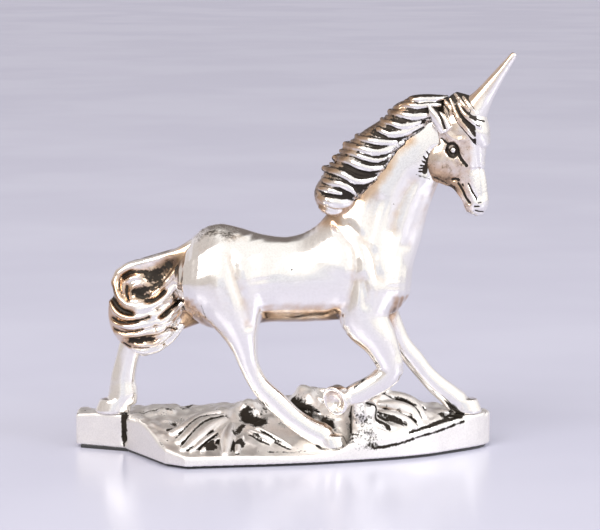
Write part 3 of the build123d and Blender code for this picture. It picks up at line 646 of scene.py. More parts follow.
def laid(line, radius):
    """Rows of a strand that lies on the ground along a line seen from above, thin at its ends."""
    rows = evened([(*place, 0) for place in line], LINE_STEPS)
    flat = np.column_stack([rows[:, :2], np.zeros(LINE_STEPS)])
    heights = base.sample(flat, np.repeat(ground[:, :, None], 2, 2))
    sizes = radius * (0.45 + 0.55 * np.sin(np.linspace(0, math.pi, LINE_STEPS)))
    return np.column_stack([rows[:, :2], heights, sizes])


base.rope(PIN_BEAD, 0.5)
for line in STREAKS:
    base.rope(laid(line, STREAK_RADIUS), 0.25)
for line in BLADES:
    base.rope(laid(line, BLADE_RADIUS) + (0, 0, BLADE_LIFT, 0), 0.15)
for middle, radius in HOLES:
    base.ball(middle, (radius,) * 3, 0.5, carve=True)
for line, depth, width in FRONT_CUTS:
    base.mark(line, depth, width, back=FRONT_CUT_BACK)
for sole_x, sole_y, sole_z, length in SOLES.values():
    print_x = (x - sole_x) / (length / 2 + PRINT_MARGIN)
    print_y = (y - sole_y) / (HOOF_WIDTH / 2 + PRINT_MARGIN)
    inside = (np.sqrt(print_x**2 + print_y**2) - 1) * HOOF_WIDTH / 2
    base.field[:] = np.minimum(base.field, np.maximum(inside, z - sole_z))
    base.field[:] = np.maximum(base.field, -np.maximum(inside, sole_z - z))
base.field[:] = -joined(-base.field, -np.broadcast_to(edge[:, :, None], base.field.shape), 0.5)
base.field[:] = np.maximum(base.field, FELT_THICKNESS - z)
points, faces, ways = base.surface()
streak_gaps = [(between(a, b), 0.22, 0.8) for a, b in zip(STREAKS[:-1], STREAKS[1:])
               if math.dist(a[0], b[0]) < STREAK_NEIGHBOUR]
ink = inked(points[:, 0], points[:, 1], GROUND_INK + streak_gaps) * np.clip(points[:, 2] - 1.2, 0, 1)
front_ink = inked(points[:, 0], points[:, 2], [(line, 0.3, 0.8) for line, depth, width in FRONT_CUTS])
ink = np.maximum(ink, front_ink * (points[:, 1] < FRONT_CUT_BACK - 0.5))
turf = base.grime_and_shade(points, ways, reach=0.8, gain=1.7, start=0.28, limit=1.2)
values = {
    "patina_and_shade": np.maximum(turf, ink),
    # Painted shade: brown in the base's broad hollows.
    "warm": base.grime_and_shade(points, ways, reach=2.6, gain=1.0, start=0.50, limit=0.40),
}
base_silver = paint_silver("base_silver", SILVER, 0.40, 0.85)
show("base_casting", mesh_of("base_casting", points, faces, ways, values, base_silver))

# Torso, neck and legs: six white-metal castings, pinned and soldered, then dressed and plated
# together so that no joint shows. They are worked here as one skin and parted along the joints.
SKIN_CELL = 0.26
TORSO_LENGTH, TORSO_DEPTH, TORSO_WIDTH = 39.2, 18.0, 13.8
TORSO_REAR, TORSO_HEIGHT = -18.0, 31.0
HIP = (-10.55, 32.98)
SHOULDER = (14.14, 29.92)
NECK_ROOT, NECK_LENGTH, NECK_DEPTH, NECK_WIDTH, NECK_PITCH = (13.36, 33.52), 25.4, 17.2, 11.2, 58.0
# Legs: depth and width where they leave the body
HIND_LEG = (13.0, 6.4)
FORE_LEG = (9.0, 5.4)
LEG_SPREAD = 5.2
NECK_FILLET, LEG_FILLET = 3.0, 2.2
JOINT_DEPTH = 0.5
SETTLE_PASSES = 8
# The pastern's place along the leg, and sizes about the foot in shares of the hoof
PASTERN_ALONG, PASTERN_SIZE = 0.93, 0.72
FOOT_SIZE, FOOT_SINK = 0.40, 0.25
CORONET_SIZE, CORONET_LEAN = 0.86, 0.45
# Hollow of the raised sole: its radius, and how far its middle lies below the sole
SOLE_HOLLOW, SOLE_HOLLOW_DROP = 1.9, 0.35
RAISED_CORONET = (10.2, -4.7, 11.2)
RAISED_SOLE_WAY = (-0.554, -0.791, -0.259)
# Torso rows: along the body, centre's rise, depth, width
TORSO = [
    (0.00, 0.04, 0.27, 0.38),
    (0.035, 0.00, 0.55, 0.67),
    (0.10, 0.01, 0.88, 0.90),
    (0.18, 0.02, 1.01, 0.99),
    (0.27, 0.01, 0.97, 0.99),
    (0.38, 0.00, 0.85, 0.94),
    (0.51, -0.01, 0.82, 0.97),
    (0.64, 0.03, 0.88, 1.00),
    (0.77, 0.08, 0.94, 0.94),
    (0.89, 0.02, 0.77, 0.84),
    (0.97, -0.06, 0.48, 0.61),
    (1.00, -0.10, 0.22, 0.29),
]
# Leg rows: along the line from the body to the hoof, bow, distance from the middle plane, depth, width
LEGS = {
    "right_hind_leg": [
        (-0.08, 0.00, 0.68, 0.55, 0.58),
        (0.00, 0.00, 0.80, 1.00, 0.97),
        (0.14, -0.03, 0.96, 0.82, 1.00),
        (0.26, -0.06, 1.00, 0.57, 0.91),
        (0.36, -0.09, 0.96, 0.37, 0.69),
        (0.45, -0.12, 0.92, 0.27, 0.50),
        (0.56, -0.13, 0.88, 0.26, 0.44),
        (0.66, -0.11, 0.87, 0.30, 0.47),
        (0.78, -0.08, 0.85, 0.28, 0.44),
        (0.87, -0.04, 0.83, 0.30, 0.53),
    ],
    "left_hind_leg": [
        (-0.08, 0.00, 0.68, 0.55, 0.58),
        (0.00, 0.00, 0.80, 1.00, 0.97),
        (0.20, -0.01, 0.96, 0.80, 1.00),
        (0.38, -0.06, 1.06, 0.55, 0.91),
        (0.52, -0.12, 1.08, 0.38, 0.69),
        (0.63, -0.13, 1.08, 0.33, 0.56),
        (0.72, -0.10, 1.08, 0.31, 0.50),
        (0.81, -0.06, 1.08, 0.34, 0.53),
    ],
    "left_foreleg": [
        (-0.16, 0.00, 0.66, 0.48, 0.50),
        (0.00, 0.00, 0.84, 1.00, 0.95),
        (0.16, -0.02, 0.90, 0.74, 0.92),
        (0.31, -0.03, 0.92, 0.46, 0.74),
        (0.43, -0.05, 0.94, 0.38, 0.60),
        (0.55, -0.05, 0.96, 0.39, 0.58),
        (0.66, -0.05, 1.00, 0.37, 0.54),
        (0.75, -0.04, 1.02, 0.40, 0.56),
        (0.84, -0.02, 1.06, 0.43, 0.62),
    ],
    "right_foreleg": [
        (-0.18, -0.03, 0.66, 0.48, 0.50),
        (0.00, 0.00, 0.84, 1.00, 0.95),
        (0.27, 0.06, 0.92, 0.90, 1.00),
        (0.42, 0.22, 0.94, 0.70, 0.90),
        (0.55, 0.32, 0.92, 0.56, 0.78),
        (0.67, 0.39, 0.92, 0.48, 0.70),
        (0.77, 0.33, 0.92, 0.46, 0.66),
        (0.87, 0.23, 0.91, 0.44, 0.62),
        (0.95, 0.13, 0.90, 0.44, 0.66),
    ],
}
# Neck rows: along, bow, depth, width
NECK = [
    (0.00, 0.00, 1.00, 1.00),
    (0.27, 0.04, 0.95, 0.84),
    (0.49, 0.08, 0.87, 0.71),
    (0.71, 0.09, 0.77, 0.61),
    (0.87, 0.06, 0.67, 0.54),
    (1.00, 0.01, 0.57, 0.45),
    (1.14, -0.02, 0.38, 0.36),
]
# Creases of the muscles seen from the side: their line, depth and width
CREASES = [
    ([(9.6, 40.6), (12.2, 36.8), (12.4, 32.4), (11.2, 27.6), (9.6, 25.2)], 0.40, 1.0),
    ([(11.6, 40.6), (15.0, 36.6), (16.2, 32.0)], 0.35, 0.9),
    ([(14.0, 32.0), (14.4, 27.6)], 0.30, 0.8),
    ([(-8.6, 35.4), (-7.8, 32.2), (-6.3, 27.6), (-5.6, 24.0)], 0.45, 1.1),
    ([(-12.6, 34.4), (-13.0, 31.5), (-12.6, 27.4)], 0.12, 1.2),
    ([(22.4, 48.2), (20.9, 45.9), (19.6, 42.3), (19.0, 39.6)], 0.45, 1.3),
    ([(16.6, 44.6), (15.8, 42.6), (15.2, 39.6)], 0.30, 1.2),
    ([(24.6, 46.0), (23.4, 42.0), (21.6, 37.4)], 0.30, 1.1),
    ([(25.9, 53.2), (25.2, 52.1), (24.75, 50.9), (24.4, 49.6)], 0.40, 0.45),
]
# Brown along the foot of the mane, a painted dark reflection over the croup, and tarnish in specks on the
# near side
MANE_FOOT = [(21.7, 55.2), (19.6, 53.6), (17.8, 50.6), (16.2, 48.2), (13.6, 45.2), (10.4, 43.6), (7.2, 42.0)]
CROUP_DARK_REFLECTION = ([(-13.8, 38.4), (-12.0, 39.3), (-10.0, 39.3), (-8.4, 39.0)], 2.3, 0.46)
SPECKS = [
    ([(12.6, 13.0), (14.4, 14.8), (16.2, 17.2)], 0.50, 0.55),
    ([(25.9, 53.2), (25.2, 52.1), (24.75, 50.9), (24.4, 49.6)], 0.36, 1.2),
    ([(25.15, 52.5), (24.75, 53.1)], 0.20, 0.9),
    ([(24.75, 51.6), (24.2, 52.3)], 0.20, 1.0),
    ([(24.6, 51.1), (24.0, 51.5)], 0.20, 1.0),
    ([(24.5, 50.6), (23.7, 50.8)], 0.20, 1.0),
    ([(24.4, 50.2), (23.5, 50.3)], 0.20, 1.0),
    ([(24.3, 49.7), (23.4, 49.8)], 0.20, 1.0),
    ([(23.0, 49.2), (24.2, 48.8), (25.4, 48.4)], 0.35, 0.5),
    ([(-13.6, 27.2), (-12.8, 25.0)], 0.40, 0.45),
]


def rigged(root, tip, rows):
    """Rows of along, bow, y and more, laid along the line from root to tip in the middle plane."""
    line_x, line_z = tip[0] - root[0], tip[1] - root[1]
    return [(root[0] + line_x * along - line_z * bow, side, root[1] + line_z * along + line_x * bow, *rest)
            for along, bow, side, *rest in rows]


def hoof(clay, coronet, sole, length):
    """A short cone that widens from the coronet to the flat sole."""
    coronet, sole = np.array(coronet, float), np.array(sole, float)
    span = sole - coronet
    way = np.array([0, 0, -1.0]) if abs(span[1]) < TINY else unit(span)
    fore = unit(np.cross((0, 1, 0), way))
    wing = np.cross(way, fore)
    reach = length / 2 + MARGIN
    cuts, x, y, z = clay.patch(np.minimum(coronet, sole) - reach, np.maximum(coronet, sole) + reach)
    x, y, z = x - coronet[0], y - coronet[1], z - coronet[2]
    fall = x * way[0] + y * way[1] + z * way[2]
    drop = span.dot(way)
    u = np.clip(fall / drop, 0, 1)
    grow = CORONET_SIZE + (1 - CORONET_SIZE) * u
    x, y, z = x - span[0] * u, y - span[1] * u, z - span[2] * u
    along = (x * fore[0] + y * fore[1] + z * fore[2]) / (length / 2 * grow)
    across = (x * wing[0] + y * wing[1] + z * wing[2]) / (HOOF_WIDTH / 2 * grow)
    found = (np.sqrt(along**2 + across**2) - 1) * HOOF_WIDTH / 2
    found = np.maximum(found, np.maximum(-fall - 0.25, fall - drop))
    clay.field[cuts] = joined(clay.field[cuts], found, 0.35)


skin = Clay((-36.5, -9.5, 1.0), (38.5, 10.5, 62.0), SKIN_CELL)
parts = {"torso": skin.empty(), "neck": skin.empty()}
parts["torso"].limb([
    (TORSO_REAR + along * TORSO_LENGTH, 0, TORSO_HEIGHT + rise * TORSO_DEPTH, depth * TORSO_DEPTH,
     width * TORSO_WIDTH) for along, rise, depth, width in TORSO
], way=(1, 0, 0), cap=0.25)
neck_tip = (NECK_ROOT[0] + NECK_LENGTH * math.cos(math.radians(NECK_PITCH)),
            NECK_ROOT[1] + NECK_LENGTH * math.sin(math.radians(NECK_PITCH)))
parts["neck"].limb(rigged(NECK_ROOT, neck_tip, [
    (along, bow, 0, depth * NECK_DEPTH, width * NECK_WIDTH) for along, bow, depth, width in NECK
]), cap=0.25)
for name, shares in LEGS.items():
    part = parts[name] = skin.empty()
    hand = -1 if name.startswith("right") else 1
    hind = "hind" in name
    depth, width = HIND_LEG if hind else FORE_LEG
    root = HIP if hind else SHOULDER
    rows = [(along, bow, hand * spread * LEG_SPREAD, d * depth, w * width)
            for along, bow, spread, d, w in shares]
    if name in SOLES:
        sole_x, sole_y, sole_z, length = SOLES[name]
        sole = (sole_x, sole_y, sole_z)
        rows.append((PASTERN_ALONG, 0, sole_y, PASTERN_SIZE * length, PASTERN_SIZE * HOOF_WIDTH))
        rows = rigged(root, (sole_x, sole_z), rows)
        coronet = (sole_x + (rows[-1][0] - sole_x) * CORONET_LEAN, sole_y, sole_z + HOOF_HEIGHT)
        foot = (sole_x, sole_y, sole_z + (1 - FOOT_SINK) * HOOF_HEIGHT)
    else:
        length = HOOF_LENGTH
        coronet = RAISED_CORONET
        sole = tuple(c + HOOF_HEIGHT * w for c, w in zip(coronet, RAISED_SOLE_WAY))
        rows = rigged(root, (coronet[0], coronet[2]), rows)
        foot = [c + HOOF_HEIGHT * FOOT_SINK * w for c, w in zip(coronet, RAISED_SOLE_WAY)]
    part.limb(rows + [(*foot, FOOT_SIZE * length, FOOT_SIZE * HOOF_WIDTH)], cap=0.3)
    hoof(part, coronet, sole, length)
    if name not in SOLES:
        hollow = [s + SOLE_HOLLOW_DROP * w for s, w in zip(sole, RAISED_SOLE_WAY)]
        part.ball(hollow, (SOLE_HOLLOW,) * 3, 0.2, carve=True)
for name, part in parts.items():
    skin.field[:] = joined(skin.field, part.field, LEG_FILLET if name.endswith("leg") else NECK_FILLET)
for line, depth, width in CREASES:
    skin.mark(line, depth, width)
softened(skin.field, 2)
points, faces, ways = skin.surface()
x, z = points[:, 0], points[:, 2]
patina_and_shade = skin.grime_and_shade(points, ways, reach=0.9, gain=1.6, start=0.65, limit=0.8)
# Painted shade: the warm tint on faces turned down under the belly, on the inner faces of the legs and in
# broad hollows stands for shade, together with some tarnish.
under = np.clip(-ways[:, 2] * 1.3 - 0.35, 0, 0.45) * np.clip((z - 14) / 6, 0, 1)
inner = 0.10 * np.clip(-ways[:, 1] * np.sign(points[:, 1]) * 2, 0, 1) * (np.abs(points[:, 1]) > 1)
warm = skin.grime_and_shade(points, ways, reach=3.5, gain=2.2, start=1.00, limit=0.5) + under + inner
warm += 0.55 * faded(line_distance(x, z, flowing(MANE_FOOT)), 1.5)
raised_sole = np.array(RAISED_CORONET) + 2.6 * np.array(RAISED_SOLE_WAY)
warm += 0.34 * faded(np.linalg.norm(points - raised_sole, axis=1), 2.2, 6)
# Painted reflection: a dark brown patch on the up-turned top of the croup, where the dark room is reflected.
croup = inked(x, z, [CROUP_DARK_REFLECTION]) * np.clip(ways[:, 2] * 3, 0, 1)
patina_and_shade, warm = np.maximum(patina_and_shade, croup), warm + 0.5 * croup
specks = inked(x, z, SPECKS) * np.clip(-ways[:, 1] * 3, 0, 1)
patina_and_shade = np.maximum(patina_and_shade, specks * (points[:, 1] < 0))
# Painted shade: brown along the muscle creases on the sides of the body.
for line, depth, width in CREASES:
    crease = faded(line_distance(x, z, flowing(line)), width)
    warm += 0.25 * depth / 0.4 * crease * np.clip(np.abs(ways[:, 1]) * 2 - 0.5, 0, 1)
nearest = np.argmin([part.sample(points) for part in parts.values()], axis=0)
body_silver = paint_silver("body_silver", SILVER, 0.13)


def settled(owner, quads):
    """Each face's owner, once every point has the owner that most points beside it have."""
    a, b = neighbours(quads)
    for _ in range(SETTLE_PASSES):
        votes = np.zeros((len(owner), owner.max() + 1))
        np.add.at(votes, (a, owner[b]), 1)
        np.add.at(votes, (b, owner[a]), 1)
        votes[np.arange(len(owner)), owner] += 1
        owner = votes.argmax(axis=1)
    np.maximum.at(owner, quads, owner[quads].max(axis=1)[:, None])
    return owner[quads].max(axis=1)


def parted(points, own, ways):
    """One owner's faces with their points, closed by walls that go down into the joint."""
    used = np.unique(own)
    places = {old: new for new, old in enumerate(used.tolist())}
    form = bmesh.new()
    verts = [form.verts.new(points[old]) for old in used]
    for face in own.tolist():
        form.faces.new([verts[places[old]] for old in face])
    form.verts.index_update()
    border = [line.link_loops[0] for line in form.edges if line.is_boundary]
    border = [(loop.vert, loop.link_loop_next.vert) for loop in border]
    sunk, rims = {}, []
    for a, b in border:
        for vert in (a, b):
            if vert not in sunk:
                sunk[vert] = form.verts.new(points[used[vert.index]] - ways[used[vert.index]] * JOINT_DEPTH)
                rims.append(used[vert.index])
        form.faces.new((b, a, sunk[a], sunk[b]))
    floor_lines = [form.edges.get((sunk[a], sunk[b])) for a, b in border]
    closing = bmesh.ops.holes_fill(form, edges=floor_lines, sides=0)["faces"]
    for face in closing:
        loop = face.loops[0]
        wall = next(other for other in loop.edge.link_loops if other.face is not face)
        if wall.vert is loop.vert:
            face.normal_flip()
    bmesh.ops.triangulate(form, faces=closing)
    form.verts.index_update()
    made = [tuple(vert.index for vert in face.verts) for face in form.faces]
    places = np.array([tuple(vert.co) for vert in form.verts])
    form.free()
    return np.concatenate([used, np.array(rims, int)]), places, made


owner = settled(nearest, faces)
for index, name in enumerate(parts):
    used, places, own = parted(points, faces[owner == index], ways)
    values = {"patina_and_shade": patina_and_shade[used], "warm": warm[used]}
    show(name, mesh_of(name, places, own, ways[used], values, body_silver))

# Head: a white-metal casting pinned to the neck's end and turned a little to its right.
# Eye, cheek, mouth and nostril are chased into it and filled with dark patina.
HEAD_CELL = 0.14
HEAD_TURN = -10.0
HEAD_LENGTH, HEAD_DEPTH, HEAD_WIDTH, HEAD_PITCH = 19.4, 10.8, 6.2, -74.0
POLL = (28.55, 61.0)
# Head rows: along from the poll to the lips, bow, depth, width
HEAD = [
    (0.00, 0.00, 0.35, 0.55),
    (0.15, 0.04, 0.85, 0.94),
    (0.38, -0.03, 0.94, 1.00),
    (0.53, -0.10, 1.00, 0.94),
    (0.69, -0.04, 0.72, 0.74),
    (0.84, -0.01, 0.51, 0.65),
    (0.96, 0.00, 0.34, 0.56),
    (1.00, 0.00, 0.19, 0.32),
]
# Chased lines seen from the side: their line, depth, width and how black they are
FACE_LINES = [
    ([(28.6, 53.4), (28.9, 54.3), (29.6, 54.6), (30.3, 54.2), (30.6, 52.9), (31.4, 51.5), (32.0, 50.8)],
     0.32, 0.30, 1.2),
    ([(28.7, 53.3), (29.2, 52.5), (29.9, 52.3), (30.3, 52.8)], 0.28, 0.28, 1.2),
    ([(27.7, 55.4), (28.4, 54.8), (29.0, 54.4)], 0.20, 0.26, 0.8),
    ([(28.4, 56.6), (29.4, 55.7), (30.6, 55.2), (31.4, 55.3)], -0.30, 0.40, 0.0),
    ([(26.5, 56.0), (26.7, 55.2), (26.9, 54.6)], 0.22, 0.40, 0.6),
    ([(29.6, 48.4), (30.1, 48.5), (30.6, 48.3)], 0.40, 0.40, 0.7),
    ([(29.2, 47.4), (29.9, 47.0)], 0.18, 0.40, 0.65),
    ([(30.6, 47.7), (31.3, 46.5), (31.9, 45.2), (32.5, 44.4)], 0.38, 0.25, 1.2),
    ([(32.3, 47.7), (32.9, 46.4), (33.7, 45.0)], 0.30, 0.20, 1.0),
    ([(31.3, 47.6), (31.4, 47.3)], 0.15, 0.25, 0.8),
    ([(33.4, 43.8), (34.1, 43.8)], 0.20, 0.18, 1.0),
    ([(33.5, 43.1), (34.1, 42.9), (34.8, 42.8)], 0.20, 0.18, 0.9),
    ([(34.0, 44.4), (34.4, 44.5)], 0.15, 0.16, 0.8),
    ([(26.2, 48.9), (27.9, 48.1), (28.9, 47.4), (30.1, 46.4)], 0.10, 0.40, 0.55),
    ([(33.2, 56.5), (33.5, 52.3), (33.8, 49.5), (34.0, 47.0), (34.1, 45.4)], 0.28, 0.50, 0.0),
    ([(30.2, 51.6), (30.9, 50.2), (31.4, 49.0)], 0.10, 0.50, 0.0),
]
# Forms of each side, the cheek, the eye's socket and its ball: middle, radii, blend, and whether it is cut
FACE_FORMS = [
    ((27.6, 1.9, 51.2), (3.0, 1.5, 3.4), 0.8, False),
    ((29.7, 3.4, 53.4), (1.1, 0.9, 0.95), 0.3, True),
    ((29.75, 2.5, 53.4), (0.66, 0.7, 0.62), 0.05, False),
]
JAW_HOLLOW = ((26.0, 0, 42.9), (5.4, 8.0, 4.9))
JAW_STAIN = [(25.2, 49.6), (28.0, 48.4), (30.2, 46.6)]
EYE = (29.75, 53.4)
EYE_BRIGHT, EYE_RING = 0.46, 0.80


def along_head(along, bow):
    """A place in the unturned head's middle plane by shares of its length."""
    pitch = math.radians(HEAD_PITCH)
    line_x, line_z = HEAD_LENGTH * math.cos(pitch), HEAD_LENGTH * math.sin(pitch)
    return POLL[0] + line_x * along - line_z * bow, POLL[1] + line_z * along + line_x * bow


def turned(ways):
    """Ways from the unturned head, swung to its right with it."""
    turn = math.radians(HEAD_TURN)
    swing = np.array([(math.cos(turn), -math.sin(turn), 0), (math.sin(turn), math.cos(turn), 0), (0, 0, 1)])
    return ways @ swing.T


def swung(points):
    """Places on the unturned head, swung about the end of the neck."""
    neck_end = np.array([neck_tip[0], 0, 0])
    return turned(points - neck_end) + neck_end


def show_turned(name, clay, values, silver):
    """Shows a piece that was worked on the unturned head."""
    points, faces, ways = clay.surface()
    mesh = mesh_of(name, swung(points), faces, turned(ways), values(points, ways), silver)
    show(name, mesh)


head = Clay((20.0, -5.5, 39.5), (39.0, 5.5, 66.0), HEAD_CELL)
head.limb([(x, 0, z, depth * HEAD_DEPTH, width * HEAD_WIDTH)
           for along, bow, depth, width in HEAD for x, z in [along_head(along, bow)]], cap=0.4)
for hand, ((x, y, z), radii, blend, carve) in product((-1, 1), FACE_FORMS):
    head.ball((x, hand * y, z), radii, blend, carve=carve)
head.ball(*JAW_HOLLOW, 0.5, carve=True)
for line, depth, width, black in FACE_LINES:
    head.mark(line, depth, width)
softened(head.field, 1)


def face_values(points, ways):
    """Black in the chased lines and round the bright eye, painted grey and brown shade on the sides, and
    brown along the jaw.
    """
    x, z = points[:, 0], points[:, 2]
    from_eye = np.hypot(x - EYE[0], z - EYE[1])
    off_eye = 1 - faded(from_eye, EYE_BRIGHT, 4)
    sides = np.clip(np.abs(ways[:, 1]) * 2.4 - 0.5, 0, 1)
    ink = inked(x, z, [(line, width, black) for line, depth, width, black in FACE_LINES])
    ink = np.maximum(ink, 0.95 * faded(from_eye, EYE_RING, 4)) * off_eye
    patina_and_shade = np.maximum(head.shelter(points, ways, 0.6) * off_eye, ink * np.clip(sides * 1.5, 0, 1))
    # Painted shade: brown in the head's broad hollows.
    tan = head.grime_and_shade(points, ways, reach=2.2, gain=1.6, start=0.5, limit=0.5)
    jaw = 0.45 * faded(line_distance(x, z, JAW_STAIN), 1.2)
    # Painted shade: the sides of the head, back from the nose, are made grey and brown.
    grey = 0.35 * sides * np.clip((33.6 - x) / 1.2, 0, 1) * off_eye
    return {"patina_and_shade": np.maximum(patina_and_shade, grey), "warm": (tan + jaw + 1.1 * grey) * off_eye}


show_turned("head", head, face_values, body_silver)

# Horn: a slim white-metal cone pinned into the brow, with a faint twist and a blunt tip.
# It is plated with the head, and its back is given a little painted brown shade.
HORN_LENGTH, HORN_DIAMETER, HORN_PITCH = 12.7, 5.6, 54.5
HORN_ON_HEAD = (0.13, 0.17)
HORN_SUNK = 0.15
HORN_TURNS, HORN_FLUTES, FLUTE_DEPTH = 1.4, 3, 0.07
HORN_BACK = (-0.86, -0.30, 0.42)
HORN_STEPS, HORN_SIDES = 120, 64
# Horn rows: along from the brow to the tip, and share of the diameter
HORN = [(-0.15, 1.04), (0.00, 1.00), (0.12, 0.84), (0.30, 0.60), (0.55, 0.42), (0.80, 0.29), (0.97, 0.19),
        (0.99, 0.14), (1.00, 0.02)]


def twisted_cone():
    """A tree that draws a tapering, faintly fluted cone from its foot to its tip."""
    tree = bpy.data.node_groups.new("twisted_cone", "GeometryNodeTree")
    places = {"Foot": "Vector", "Tip": "Vector", "Diameter": "Float", "Turns": "Float", "Flutes": "Float",
              "Flute Depth": "Float", "Back": "Vector", "Finish": "Material"}
    for name, kind in places.items():
        tree.interface.new_socket(name, in_out="INPUT", socket_type="NodeSocket" + kind)
    tree.interface.new_socket("Horn", in_out="OUTPUT", socket_type="NodeSocketGeometry")

    def put(kind, inputs=None, **settings):
        return add_node(tree, kind, inputs or {}, settings)

    def sum_of(operation, a, b=0.0):
        return put("ShaderNodeMath", {0: a, 1: b}, operation=operation).outputs[0]

    sizes = put("NodeGroupInput").outputs
    line = put("GeometryNodeCurvePrimitiveLine", {"Start": sizes["Foot"], "End": sizes["Tip"]})
    line = put("GeometryNodeResampleCurve", {"Curve": line.outputs[0], "Count": HORN_STEPS})
    along = put("GeometryNodeSplineParameter").outputs["Factor"]
    kept_along = put("GeometryNodeCaptureAttribute", {0: line.outputs[0]})
    kept_along.capture_items.new("FLOAT", "Along")
    tree.links.new(along, kept_along.inputs["Along"])
    taper = put("ShaderNodeFloatCurve", {"Value": along})
    curve = taper.mapping.curves[0]
    stops = [((at + HORN_SUNK) / (1 + HORN_SUNK), girth / HORN[0][1]) for at, girth in HORN]
    curve.points[0].location, curve.points[1].location = stops[0], stops[-1]
    for stop in stops[1:-1]:
        curve.points.new(*stop)
    taper.mapping.update()
    radius = sum_of("MULTIPLY", taper.outputs[0], sum_of("MULTIPLY", sizes["Diameter"], HORN[0][1] / 2))
    ring = put("GeometryNodeCurvePrimitiveCircle", {"Resolution": HORN_SIDES, "Radius": 1.0})
    kept_round = put("GeometryNodeCaptureAttribute", {0: ring.outputs[0]})
    kept_round.capture_items.new("FLOAT", "Round")
    tree.links.new(put("GeometryNodeSplineParameter").outputs["Factor"], kept_round.inputs["Round"])
    lines = {"Curve": kept_along.outputs[0], "Profile Curve": kept_round.outputs[0]}
    cone = put("GeometryNodeCurveToMesh", {**lines, "Scale": radius, "Fill Caps": True})
    around = sum_of("MULTIPLY", kept_round.outputs["Round"], sizes["Flutes"])
    climb = sum_of("MULTIPLY", kept_along.outputs["Along"], sizes["Turns"])
    wave = sum_of("SINE", sum_of("MULTIPLY", sum_of("ADD", around, climb), math.tau))
    fade = sum_of("SUBTRACT", 1.0, kept_along.outputs["Along"])
    depth = sum_of("MULTIPLY", sum_of("MULTIPLY", wave, fade), sizes["Flute Depth"])
    way = put("GeometryNodeInputNormal").outputs[0]
    push = put("ShaderNodeVectorMath", {0: way, "Scale": depth}, operation="SCALE").outputs[0]
    form = put("GeometryNodeSetPosition", {"Geometry": cone.outputs[0], "Offset": push}).outputs[0]
    # Painted shade: faces turned towards the back way are stored a little brown.
    facing = put("ShaderNodeVectorMath", {0: way, 1: sizes["Back"]}, operation="DOT_PRODUCT").outputs["Value"]
    brown = put("ShaderNodeMapRange", {0: facing, 1: -0.30, 2: 0.7, 3: 0.0, 4: 0.45}).outputs[0]
    groove = sum_of("MULTIPLY", sum_of("MAXIMUM", sum_of("MULTIPLY", wave, -1.0), 0.0), 0.12)
    for name, amount in (("warm", brown), ("patina_and_shade", groove)):
        form = put("GeometryNodeStoreNamedAttribute", {"Geometry": form, "Name": name, "Value": amount},
                   data_type="FLOAT", domain="POINT").outputs[0]
    form = put("GeometryNodeSetShadeSmooth", {0: form}).outputs[0]
    form = put("GeometryNodeRealizeInstances", {0: form}).outputs[0]
    form = put("GeometryNodeSetMaterial", {"Geometry": form, "Material": sizes["Finish"]}).outputs[0]
    put("NodeGroupOutput", {0: form})
    return tree


horn_root = along_head(*HORN_ON_HEAD)
horn_way = np.array([math.cos(math.radians(HORN_PITCH)), 0, math.sin(math.radians(HORN_PITCH))])
horn_foot = np.array([horn_root[0], 0, horn_root[1]])
horn_ends = [swung(horn_foot + HORN_LENGTH * along * horn_way) * MM for along in (-HORN_SUNK, 1)]
horn_blank = bpy.data.objects.new("horn_blank", bpy.data.meshes.new("horn_blank"))
bpy.context.collection.objects.link(horn_blank)
cone = horn_blank.modifiers.new("twisted_cone", "NODES")
cone.node_group = twisted_cone()
horn_sizes = {"Foot": horn_ends[0], "Tip": horn_ends[1], "Diameter": HORN_DIAMETER * MM, "Turns": HORN_TURNS,
              "Flutes": float(HORN_FLUTES), "Flute Depth": FLUTE_DEPTH * MM, "Back": HORN_BACK,
              "Finish": body_silver}
for place in cone.node_group.interface.items_tree:
    if place.in_out == "INPUT":
        cone[place.identifier] = horn_sizes[place.name]
depsgraph = bpy.context.evaluated_depsgraph_get()
horn_mesh = bpy.data.meshes.new_from_object(horn_blank.evaluated_get(depsgraph), depsgraph=depsgraph)
horn_blank.modifiers.remove(cone)
bpy.data.objects.remove(horn_blank)
show("horn", horn_mesh)

# Ears: two small white-metal leaves soldered on behind the brow and laid back along the mane.
# Each is plated with the head and has one dark fold pressed down its length.
EAR_LENGTH, EAR_DEPTH, EAR_WIDTH, EAR_SPREAD, EAR_PITCH = 5.2, 2.6, 1.9, 3.4, 125.0
EAR_CELL = 0.12
EAR_ON_HEAD = (0.20, -0.06)
# Ear rows: along from the root to the tip, depth, width
EAR = [(0.00, 0.90, 0.90), (0.35, 1.00, 1.00), (0.70, 0.70, 0.70), (1.00, 0.20, 0.20)]
EAR_FOLD = [(28.4, 57.2), (27.9, 58.6), (27.2, 59.9), (26.2, 61.0)]
ear_root = along_head(*EAR_ON_HEAD)
ear_way = (math.cos(math.radians(EAR_PITCH)), math.sin(math.radians(EAR_PITCH)))


def ear_values(points, ways):
    fold = inked(points[:, 0], points[:, 2], [(EAR_FOLD, 0.30, 0.9)])
    return {"patina_and_shade": fold, "warm": np.full(len(points), 0.16) + 0.3 * fold}


for name, hand in (("right_ear", -1), ("left_ear", 1)):
    ear = Clay((22.0, -7.0, 54.0), (32.0, 7.0, 64.0), EAR_CELL)
    ear.limb([(ear_root[0] + EAR_LENGTH * along * ear_way[0], hand * EAR_SPREAD,
               ear_root[1] + EAR_LENGTH * along * ear_way[1], depth * EAR_DEPTH, width * EAR_WIDTH)
              for along, depth, width in EAR], cap=0.6)
    ear.mark(EAR_FOLD, 0.3, 0.35)
    show_turned(name, ear, ear_values, body_silver)

